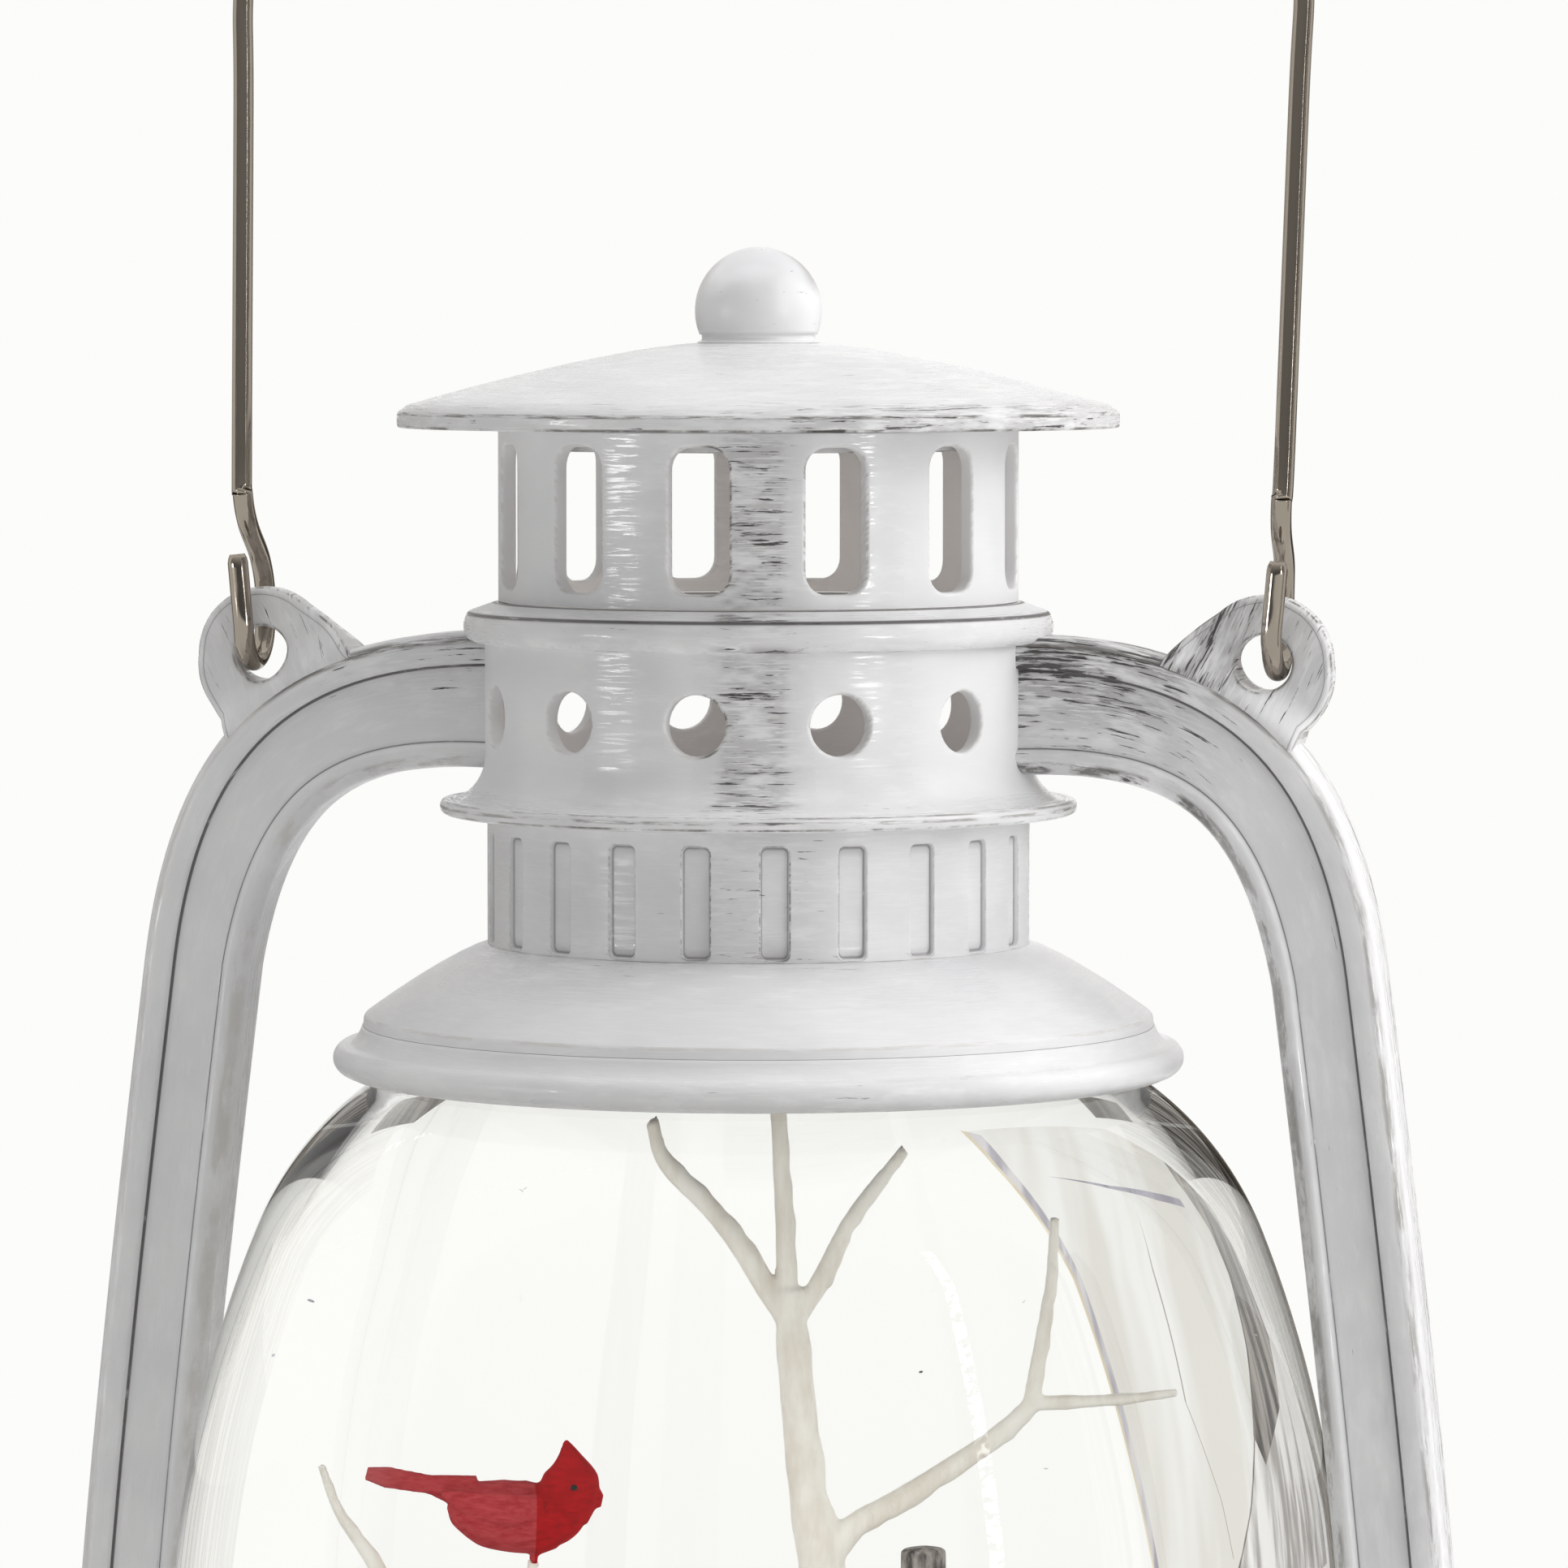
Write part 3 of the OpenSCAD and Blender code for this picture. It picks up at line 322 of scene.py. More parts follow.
def new_piece(name, verts_mm, faces, finish, recalc=True, merge_mm=0.0):
    """A smooth-shaded mesh object, from points in millimetres."""
    mesh = bpy.data.meshes.new(name)
    mesh.from_pydata([tuple(v) for v in np.asarray(verts_mm, float) * MM], [], faces)
    work = bmesh.new()
    work.from_mesh(mesh)
    bmesh.ops.remove_doubles(work, verts=work.verts, dist=merge_mm * MM)
    if recalc:
        bmesh.ops.recalc_face_normals(work, faces=work.faces)
    work.to_mesh(mesh)
    work.free()
    smoothed(mesh)
    mesh.materials.append(material(finish))
    return placed(name, mesh)


def points_of(piece):
    """The piece's points, in millimetres."""
    co = np.empty(len(piece.data.vertices) * 3)
    piece.data.vertices.foreach_get("co", co)
    return co.reshape(-1, 3) / MM


def store(piece, name, values, kind="FLOAT"):
    """Values or vectors kept as an attribute of the piece's points."""
    layer = piece.data.attributes.get(name) or piece.data.attributes.new(name, kind, "POINT")
    key = "vector" if kind == "FLOAT_VECTOR" else "value"
    layer.data.foreach_set(key, np.asarray(values, np.float32).ravel())


CORNER_STEPS = 4
# Longest stretch of an outline without a point, in millimetres
LONGEST_SPAN = 1.2


def corner_signs(profile):
    """Filleted outline of (r, z, corner) points. Convex corners get +1 and hollow ones -1, which the enamel
    turns into painted shade.
    """
    points = [np.array(p[:2], float) for p in profile]
    sizes = [p[2] if len(p) > 2 else 0.0 for p in profile]
    out = [(points[0][0], points[0][1], 0.0)]
    for i in range(1, len(points) - 1):
        before, here, after = points[i - 1], points[i], points[i + 1]
        u, v = here - before, after - here
        reach = min(sizes[i], 0.45 * np.linalg.norm(u), 0.45 * np.linalg.norm(v))
        u, v = u / np.linalg.norm(u), v / np.linalg.norm(v)
        turn = u[0] * v[1] - u[1] * v[0]
        sign = 0.0 if abs(turn) < 0.15 else -math.copysign(1.0, turn)
        if reach <= 0:
            out.append((here[0], here[1], 0.0))
            continue
        a, b = here - u * reach, here + v * reach
        for k in range(CORNER_STEPS + 1):
            t = k / CORNER_STEPS
            p = (1 - t) ** 2 * a + 2 * t * (1 - t) * here + t ** 2 * b
            out.append((p[0], p[1], sign * (1 - abs(2 * t - 1) ** 2)))
    out.append((points[-1][0], points[-1][1], 0.0))
    dense = [out[0]]
    for a, b in zip(out, out[1:]):
        length = math.hypot(b[0] - a[0], b[1] - a[1])
        cuts = max(1, int(length / LONGEST_SPAN))
        if cuts > 1 and length > 0.5:
            # Edge marks end close to the corner
            near = 0.12 / length
            stops = [near] + [k / cuts for k in range(1, cuts)] + [1 - near]
            dense += [(a[0] + (b[0] - a[0]) * t, a[1] + (b[1] - a[1]) * t, 0.0) for t in stops]
        dense.append(b)
    return dense


def arc_points(cx, cz, radius, a0, a1, steps):
    """Points of an arc in an outline, angles in degrees."""
    turns = [math.radians(a0 + (a1 - a0) * k / steps) for k in range(steps + 1)]
    return [(cx + radius * math.cos(t), cz + radius * math.sin(t)) for t in turns]


def lathe(name, profile, finish, segments):
    """A turned surface. The outline runs down the outside, then back up the inside."""
    dense = corner_signs(profile)
    turn = np.linspace(0, 2 * math.pi, segments, endpoint=False)
    ring = np.stack([np.cos(turn), np.sin(turn)], 1)
    verts = np.array([[max(r, 0.0) * c, max(r, 0.0) * s, z] for r, z, _ in dense for c, s in ring])
    faces = [(a, d, c, b) for a, b, c, d in band(len(dense), segments)]
    piece = new_piece(name, verts, faces, finish, merge_mm=0.0005)
    key = np.array([[r, z] for r, z, _ in dense])
    marks = np.array([e for _, _, e in dense])
    co = points_of(piece)
    here = np.stack([np.hypot(co[:, 0], co[:, 1]), co[:, 2]], 1)
    near = np.argmin(((here[:, None, :] - key[None, :, :]) ** 2).sum(2), 1)
    store(piece, "edge", marks[near])
    return piece


def brush_round(piece, heavy):
    """Bristle marks that run round the axis. heavy(azimuth, z, r) says how much charcoal there is."""
    co = points_of(piece)
    radius = np.hypot(co[:, 0], co[:, 1])
    azimuth = np.degrees(np.arctan2(co[:, 0], -co[:, 1]))
    store(piece, "brush", np.stack([co[:, 0], co[:, 1], co[:, 2] - radius], 1) * MM, "FLOAT_VECTOR")
    store(piece, "heavy", heavy(azimuth, co[:, 2], radius))
    if "edge" not in piece.data.attributes:
        store(piece, "edge", np.zeros(len(co)))


def bump_at(value, centre, width):
    """1 round the centre, falling to 0 at a distance of width."""
    away = np.abs((value - centre + 180) % 360 - 180) / width
    return np.clip(1.7 * (1 - away), 0, 1)


def smooth_step(value, low, high):
    """0 below low, 1 above high and soft between them."""
    t = np.clip((value - low) / (high - low), 0, 1)
    return t * t * (3 - 2 * t)


def show(piece, nodes, body=BODY):
    """The piece stands for those CAD nodes and moves with the body."""
    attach(piece, body)
    if nodes:
        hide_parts(*nodes)


def enamelled(piece, node, heavy):
    """A painted casting that stands for one CAD node."""
    brush_round(piece, heavy)
    show(piece, [node])


# ---- repeats, by geometry nodes ----

def new_tree(name, *settings):
    """A geometry-node tree with its named sockets, and its input node."""
    tree = bpy.data.node_groups.new(name, "GeometryNodeTree")
    for label, kind in (("Geometry", "Geometry"), *settings, ("Finish", "Material")):
        tree.interface.new_socket(label, in_out="INPUT", socket_type="NodeSocket" + kind)
    tree.interface.new_socket("Geometry", in_out="OUTPUT", socket_type="NodeSocketGeometry")
    return tree, add(tree, "NodeGroupInput")


def ring_tree():
    """Copies a sector round the Z axis, welds the copies and gives them their finish."""
    tree, start = new_tree("Ring of sectors", ("Count", "Int"), ("Weld", "Float"))
    line = add(tree, "GeometryNodeMeshLine", Count=start.outputs["Count"], Offset=(0, 0, 0))
    index = add(tree, "GeometryNodeInputIndex")
    step = add(tree, MATH, {"operation": "DIVIDE"}, 2 * math.pi, start.outputs["Count"])
    turn = add(tree, "ShaderNodeCombineXYZ", Z=add(tree, MATH, MULTIPLY, index, step))
    spots = add(tree, "GeometryNodeInstanceOnPoints", Points=line, Instance=start.outputs["Geometry"],
                Rotation=turn)
    real = add(tree, "GeometryNodeRealizeInstances", Geometry=spots)
    weld = add(tree, "GeometryNodeMergeByDistance", Geometry=real, Distance=start.outputs["Weld"])
    dressed = add(tree, "GeometryNodeSetMaterial", Geometry=weld, Material=start.outputs["Finish"])
    add(tree, "NodeGroupOutput", Geometry=dressed)
    return tree


def flake_tree():
    """Scatters thin six-sided flakes over a surface, each turned its own way."""
    tree, start = new_tree("Glitter flakes", ("Density", "Float"), ("Flake Radius", "Float"), ("Seed", "Int"))
    spots = add(tree, "GeometryNodeDistributePointsOnFaces", Mesh=start.outputs["Geometry"],
                Density=start.outputs["Density"], Seed=start.outputs["Seed"])
    flake = add(tree, "GeometryNodeMeshCircle", {"fill_type": "NGON"}, Vertices=6,
                Radius=start.outputs["Flake Radius"])
    tilt = add(tree, "FunctionNodeRandomValue", {"data_type": "FLOAT_VECTOR"}, (-0.7, -0.7, -3.1),
               (0.7, 0.7, 3.1), Seed=start.outputs["Seed"])
    copies = add(tree, "GeometryNodeInstanceOnPoints", Points=spots, Instance=flake,
                 Rotation=tilt)
    real = add(tree, "GeometryNodeRealizeInstances", Geometry=copies)
    dressed = add(tree, "GeometryNodeSetMaterial", Geometry=real, Material=start.outputs["Finish"])
    add(tree, "NodeGroupOutput", Geometry=dressed)
    return tree


def settled(source, name):
    """The source with its modifiers applied, as a plain mesh object."""
    bpy.context.view_layer.update()
    graph = bpy.context.evaluated_depsgraph_get()
    mesh = bpy.data.meshes.new_from_object(source.evaluated_get(graph))
    mesh.name = name
    bpy.data.objects.remove(source)
    smoothed(mesh)
    return placed(name, mesh)


def grown(source, tree, name, **values):
    """The source mesh passed through a geometry-node tree, as a plain mesh object."""
    modifier = source.modifiers.new(tree.name, "NODES")
    modifier.node_group = tree
    for item in tree.interface.items_tree:
        key = item.name.lower().replace(" ", "_")
        if item.in_out == "INPUT" and key in values:
            modifier[item.identifier] = values[key]
    return settled(source, name)


# ---- pierced and sunk drums ----

def stadium(width, height, corner, per_corner=7):
    """Outline of a slot with round corners, anticlockwise, as points and outward directions."""
    points, away = [], []
    for cx, cz, a0 in ((1, 1, 0), (-1, 1, 90), (-1, -1, 180), (1, -1, 270)):
        for k in range(per_corner + 1):
            turn = math.radians(a0 + 90 * k / per_corner)
            d = np.array([math.cos(turn), math.sin(turn)])
            points.append(np.array([cx * (width / 2 - corner), cz * (height / 2 - corner)]) + corner * d)
            away.append(d)
    return np.array(points), np.array(away)


def to_frame_edge(points, half_w, low, high):
    """Where rays from the middle through the points meet a rectangle, with its corners kept."""
    out = []
    for x, z in points:
        t = min(half_w / max(abs(x), 1e-9), (high if z > 0 else -low) / max(abs(z), 1e-9))
        out.append([x * t, z * t])
    out = np.array(out)
    for cx in (half_w, -half_w):
        for cz in (low, high):
            out[np.argmin(np.hypot(out[:, 0] - cx, out[:, 1] - cz))] = [cx, cz]
    return out


def drum_sector(name, radius, count, low, high, middle, outline, rim, sunk=None):
    """One sector of a drum wall with a rounded opening, or with a sunk panel that is sunk mm deep."""
    points, away = outline
    half_w = math.pi * radius / count
    border = to_frame_edge(points, half_w, low - middle, high - middle)
    loops = []
    for t in (1.0, 0.66, 0.36, 0.14):
        loops.append(((points + away * rim) * (1 - t) + border * t, 0.0, 0.0))
    loops.append((points + away * (rim + 0.05), 0.0, 0.1))
    for k in range(1, 6):
        a = math.radians(18 * k)
        loops.append((points + away * rim * (1 - math.sin(a)), rim * (1 - math.cos(a)),
                      1.0 - abs(k - 2.5) / 4))
    if sunk is None:
        for depth in (rim + 0.15, WALL / 2, WALL - rim):
            loops.append((points, depth, 0.0))
        for k in range(1, 6):
            a = math.radians(18 * k)
            loops.append((points + away * rim * (1 - math.cos(a)), WALL - rim * (1 - math.sin(a)), 0.0))
        for t in (0.14, 0.36, 0.66, 1.0):
            loops.append(((points + away * rim) * (1 - t) + border * t, WALL, 0.0))
    else:
        # Negative marks round the sunk panel and on its floor give it painted shade.
        loops.append((points, sunk - 0.12, -0.6))
        loops.append((points - away * 0.12, sunk, -0.8))
        for t in (0.8, 0.5, 0.2):
            loops.append((points * t, sunk, -0.15))
    verts, marks, n = [], [], len(points)
    for shape, depth, mark in loops:
        turn = shape[:, 0] / radius - math.pi / 2
        r = radius - depth
        verts += [(r * math.cos(a), r * math.sin(a), middle + z) for a, z in zip(turn, shape[:, 1])]
        marks += [mark] * n
    faces = band(len(loops), n)
    if sunk is not None:
        faces.append(row_of(len(loops) - 1, n))
    piece = new_piece(name, verts, faces, "brushed_enamel", recalc=False)
    store(piece, "edge", marks)
    return piece


def joined(name, parts):
    """Several mesh objects as one."""
    for other in bpy.context.selected_objects:
        other.select_set(False)
    for part in parts:
        part.select_set(True)
    bpy.context.view_layer.objects.active = parts[0]
    bpy.ops.object.join()
    parts[0].name = name
    parts[0].data.name = name
    return parts[0]


def outward(piece):
    """Faces turned outwards, with doubles merged."""
    work = bmesh.new()
    work.from_mesh(piece.data)
    bmesh.ops.remove_doubles(work, verts=work.verts, dist=0.001 * MM)
    bmesh.ops.recalc_face_normals(work, faces=work.faces)
    work.to_mesh(piece.data)
    work.free()


# ---- sweeps ----

def bezier(p, t):
    """Point at t on the cubic curve of four points."""
    p = np.array(p, float)
    return (1 - t) ** 3 * p[0] + 3 * t * (1 - t) ** 2 * p[1] + 3 * t * t * (1 - t) * p[2] + t ** 3 * p[3]


def curved(points, per_span):
    """A smooth path through 3D points."""
    p = [np.array(q, float) for q in points]
    p = [2 * p[0] - p[1]] + p + [2 * p[-1] - p[-2]]
    out = []
    for a, b, c, d in zip(p, p[1:], p[2:], p[3:]):
        for k in range(per_span):
            t = k / per_span
            out.append(0.5 * (2 * b + (c - a) * t + (2 * a - 5 * b + 4 * c - d) * t ** 2
                              + (3 * b - a - 3 * c + d) * t ** 3))
    out.append(p[-2])
    return np.array(out)


def tube_mesh(path, radii, sides, flatness=1.0):
    """Points and faces of a tube with closed ends. Its depth is flatness times its width."""
    path = np.asarray(path, float)
    tangent = np.gradient(path, axis=0)
    tangent /= np.linalg.norm(tangent, axis=1)[:, None]
    side = np.cross(tangent[0], (0, 1, 0))
    if np.linalg.norm(side) < 0.2:
        side = np.cross(tangent[0], (1, 0, 0))
    verts = []
    for centre, t, r in zip(path, tangent, radii):
        side = side - np.dot(side, t) * t
        side /= np.linalg.norm(side)
        other = np.cross(t, side)
        for k in range(sides):
            a = 2 * math.pi * k / sides
            verts.append(centre + r * (math.cos(a) * side + flatness * math.sin(a) * other))
    return verts, band(len(path), sides) + [row_of(0, sides)[::-1], row_of(len(path) - 1, sides)]


def band(rows, around, closed=False):
    """Faces between rows of points that run round. Closed joins the last row to the first."""
    return [(i * around + j, i * around + (j + 1) % around, (i + 1) % rows * around + (j + 1) % around,
             (i + 1) % rows * around + j) for i in range(rows if closed else rows - 1) for j in range(around)]


def row_of(row, around):
    return tuple(row * around + j for j in range(around))


def merged(parts):
    """Points and faces of several meshes as one list."""
    verts, faces = [], []
    for v, f in parts:
        base = len(verts)
        verts += list(v)
        faces += [tuple(i + base for i in face) for face in f]
    return verts, faces


# ---- settings ----

class LanternSizes(bpy.types.PropertyGroup):
    edge_round: bpy.props.FloatProperty(name="Edge rounding", description="Radius of the castings' edges, mm",
                                        default=0.35, min=0.1, max=0.6)
    arm_band: bpy.props.FloatProperty(name="Arm band", description="Width of an arm's outer band, mm",
                                      default=3.1)
    arm_rim: bpy.props.FloatProperty(name="Arm rim", description="Width of an arm's inner rim, mm",
                                     default=2.3)
    arm_sunk: bpy.props.FloatProperty(name="Arm panel depth", description="Depth of the sunk panel, mm",
                                      default=0.8)
    flake: bpy.props.FloatProperty(name="Flake radius", description="Radius of a glitter flake, mm",
                                   default=0.28)


class LanternFinish(bpy.types.PropertyGroup):
    paint: bpy.props.StringProperty(name="Paint", description="White enamel, sRGB hex", default="#EDEDEE")
    paint_shade: bpy.props.StringProperty(name="Paint shade", description="Thinner enamel", default="#E1E0E3")
    # Grey for hollow corners: painted shade.
    hollow_shade: bpy.props.StringProperty(name="Hollows", description="Dust-grey in hollow corners",
                                    default="#A9A5AA")
    wash: bpy.props.StringProperty(name="Wash", description="Thin charcoal wash under the strokes",
                                   default="#8E8A8B")
    charcoal: bpy.props.StringProperty(name="Charcoal", description="Dry-brushed dark", default="#3B3836")
    rubbed_edge: bpy.props.StringProperty(name="Rubbed edge", description="Rubbed-through rims",
                                          default="#AFA493")
    pewter: bpy.props.StringProperty(name="Pewter", description="Metallic paint of the knob",
                                     default="#EDEDF0")
    # The back's paler red is painted light, from a refraction boundary.
    bird_back_painted_light: bpy.props.StringProperty(name="Bird back", description="Pale red back", default="#C2474B")
    bird_back_shade: bpy.props.StringProperty(name="Bird back shade", description="Red back strokes",
                                              default="#A8282F")
    bird_head: bpy.props.StringProperty(name="Bird head", description="Deep red head", default="#B80C12")
    bird_head_shade: bpy.props.StringProperty(name="Bird head shade", description="Dark strokes",
                                              default="#8C060A")


# ---- operators ----

class LANTERN_OT_stage(bpy.types.Operator):
    """Camera, white surroundings, cards and lamps"""
    bl_idname = "lantern.stage"
    bl_label = "Stage"

    def execute(self, context):
        set_camera(context.scene)
        set_floor()
        set_world(context.scene)
        set_cards()
        set_lamps()
        context.scene.view_settings.view_transform = "Standard"
        return {"FINISHED"}


# The camera's place and aim in millimetres, its turn in degrees, and its lens
VIEW_TURN = 13.0
AXIS_DISTANCE = 757.0
EYE_HEIGHT = 238.8
AIM_HEIGHT = 193.2
AIM_SIDE = 2.46
LENS = 180.8


def away_from_camera(degrees_left):
    """A level direction, turned left from the way the camera looks."""
    turn = math.radians(VIEW_TURN + degrees_left)
    return Vector((-math.sin(turn), math.cos(turn), 0))


def set_camera(scene):
    """A long lens that stands to the right of the lantern's front, a little above its middle."""
    right = Vector((math.cos(math.radians(VIEW_TURN)), math.sin(math.radians(VIEW_TURN)), 0))
    eye = -away_from_camera(0) * AXIS_DISTANCE * MM
    eye.z = EYE_HEIGHT * MM
    aim = right * AIM_SIDE * MM
    aim.z = AIM_HEIGHT * MM
    data = bpy.data.cameras.new("camera")
    data.lens = LENS
    data.sensor_width = 36.0
    data.clip_start = 0.05
    camera = placed("camera", data)
    camera.location = eye
    camera.rotation_euler = (aim - eye).to_track_quat("-Z", "Y").to_euler()
    scene.camera = camera


def set_floor():
    """White paper: it takes the shadow near the lantern and runs into the white surroundings further out."""
    bpy.ops.mesh.primitive_circle_add(vertices=96, radius=6.0, fill_type="NGON")
    floor = bpy.context.object
    floor.name = "floor"
    finish, tree = new_material("white_paper")
    coords = add(tree, COORDS).outputs["Object"]
    distance = add(tree, VECTOR, LENGTH, coords)
    far = add(tree, RANGE, SOFT, distance, 0.07, 0.3)
    rays = add(tree, "ShaderNodeLightPath")
    seen = add(tree, MATH, MAXIMUM, rays.outputs["Is Camera Ray"],
               add(tree, MATH, MAXIMUM, rays.outputs["Is Glossy Ray"], rays.outputs["Is Transmission Ray"]))
    paper = add(tree, "ShaderNodeBsdfDiffuse", Color=linear("#F6F6F5"))
    glow = add(tree, "ShaderNodeEmission", Color=linear("#FCFCFA"), Strength=1.0)
    mixed = add(tree, "ShaderNodeMixShader", {}, add(tree, MATH, MULTIPLY, far, seen), paper, glow)
    add(tree, OUTPUT, Surface=mixed)
    floor.data.materials.append(finish)


def set_world(scene):
    """A white backdrop behind the lantern and a dim room in front. Diffuse light is softer than the view."""
    world = bpy.data.worlds.new("surroundings")
    world.use_nodes = True
    tree = world.node_tree
    tree.nodes.clear()
    way = add(tree, COORDS).outputs["Generated"]
    axis = add(tree, "ShaderNodeSeparateXYZ", Vector=way)
    side = add(tree, MATH, MULTIPLY, axis.outputs["X"], 0.13)
    behind = add(tree, MATH, MULTIPLY, axis.outputs["Y"], 0.2)
    above = add(tree, MATH, MULTIPLY, axis.outputs["Z"], 0.24)
    level = add(tree, MATH, ADD, add(tree, MATH, ADD, side, behind), add(tree, MATH, ADD, above, 0.385))
    forward = add(tree, VECTOR, {"operation": "DOT_PRODUCT"}, way, tuple(away_from_camera(0)))
    ceiling = add(tree, MATH, MULTIPLY, add(tree, MATH, MAXIMUM, axis.outputs["Z"], 0.0), 0.9)
    wall = add(tree, MATH, ADD, add(tree, RANGE, SOFT, forward, -0.3, 0.0), 0.13)
    room = add(tree, MATH, ADD, wall, ceiling)
    rays = add(tree, "ShaderNodeLightPath")
    clear = add(tree, MATH, MAXIMUM, rays.outputs["Is Glossy Ray"], rays.outputs["Is Transmission Ray"])
    first = add(tree, MATH, {"operation": "LESS_THAN"}, rays.outputs["Diffuse Depth"], 0.5)
    mirrored = add(tree, MATH, MULTIPLY, clear, first)
    inside = add(tree, MATH, MULTIPLY, clear, add(tree, MATH, SUBTRACT, 1.0, first))
    direct = add(tree, MIX, FLOAT, rays.outputs["Is Camera Ray"], level, 1.0)
    unlit = add(tree, MIX, FLOAT, inside, direct, 1.5)
    strength = add(tree, MIX, FLOAT, mirrored, unlit, add(tree, MATH, {"operation": "MINIMUM"}, room, 1.0))
    backdrop = add(tree, "ShaderNodeBackground", Color=linear("#FCFCFA"), Strength=strength)
    add(tree, "ShaderNodeOutputWorld", Surface=backdrop)
    scene.world = world


UPRIGHT = (1, 1, 0.07)


def card(name, corners, dark, light, streaks, power=1.0, stretch=UPRIGHT, radial=False):
    """A sheet that only mirrors and the globe show. Its streaks are upright, or run out from the lantern."""
    mesh = bpy.data.meshes.new(name)
    mesh.from_pydata([tuple(c) for c in corners], [], [tuple(range(len(corners)))])
    sheet = placed(name, mesh)
    finish, tree = new_material(name)
    place = add(tree, COORDS).outputs["Object"]
    if radial:
        axis = add(tree, "ShaderNodeSeparateXYZ", Vector=place)
        turn = add(tree, MATH, {"operation": "ARCTAN2"}, axis.outputs["Y"], axis.outputs["X"])
        reach = add(tree, VECTOR, LENGTH, place)
        place = add(tree, "ShaderNodeCombineXYZ", X=add(tree, MATH, MULTIPLY, turn, 0.25),
                    Y=add(tree, MATH, MULTIPLY, reach, 0.05))
    else:
        place = add(tree, VECTOR, MULTIPLY, place, stretch)
    mottle = add(tree, NOISE, Vector=place, Scale=streaks / MM, Detail=3.0, Roughness=0.6)
    colour = add(tree, MIX, COLOUR, add(tree, RANGE, SOFT, mottle, 0.42, 0.6), linear(dark), linear(light))
    add(tree, OUTPUT, Surface=add(tree, "ShaderNodeEmission", Color=colour, Strength=power))
    mesh.materials.append(finish)
    sheet.visible_camera = False
    sheet.visible_diffuse = False
    sheet.visible_shadow = False
    return sheet


def upright_card(name, degrees_left, width, low, high, distance, dark, light, streaks, power=1.0,
                 stretch=UPRIGHT):
    """A sheet that stands square to a direction from the lantern. Lengths are in metres."""
    way = away_from_camera(degrees_left)
    across = Vector((way.y, -way.x, 0))
    corners = [way * distance + across * s * width / 2 + Vector((0, 0, z))
               for s, z in ((-1, low), (1, low), (1, high), (-1, high))]
    return card(name, corners, dark, light, streaks, power, stretch)


def floor_card(name, outline, height, dark, light, streaks):
    """A sheet lying on the floor that only mirrors and the globe show. Its outline is in millimetres to the
    right of and behind the lantern.
    """
    back = away_from_camera(0)
    right = Vector((back.y, -back.x, 0))
    corners = [(right * x + back * y) * MM + Vector((0, 0, height * MM)) for x, y in outline]
    card(name, corners, dark, light, streaks, radial=True)


FLAG_DISTANCE = 0.75
LAMP_AIM = 0.19
# Edges of the lantern's shadow on the floor, painted on sheets, in millimetres to the right of and behind the
# lantern
SHADE_EDGE = [(-38, 250), (-50, 278), (-75, 329), (-98, 378), (-124, 431), (-151, 485), (-170, 524)]
SHADE_END = [(-100, 174), (-109, 185), (-141, 208), (-165, 235), (-180, 272), (-196, 330), (-207, 383),
             (-213, 440), (-216, 470)]


def beside(line, reach):
    """The line moved to the right."""
    return [(x + reach, y) for x, y in line]


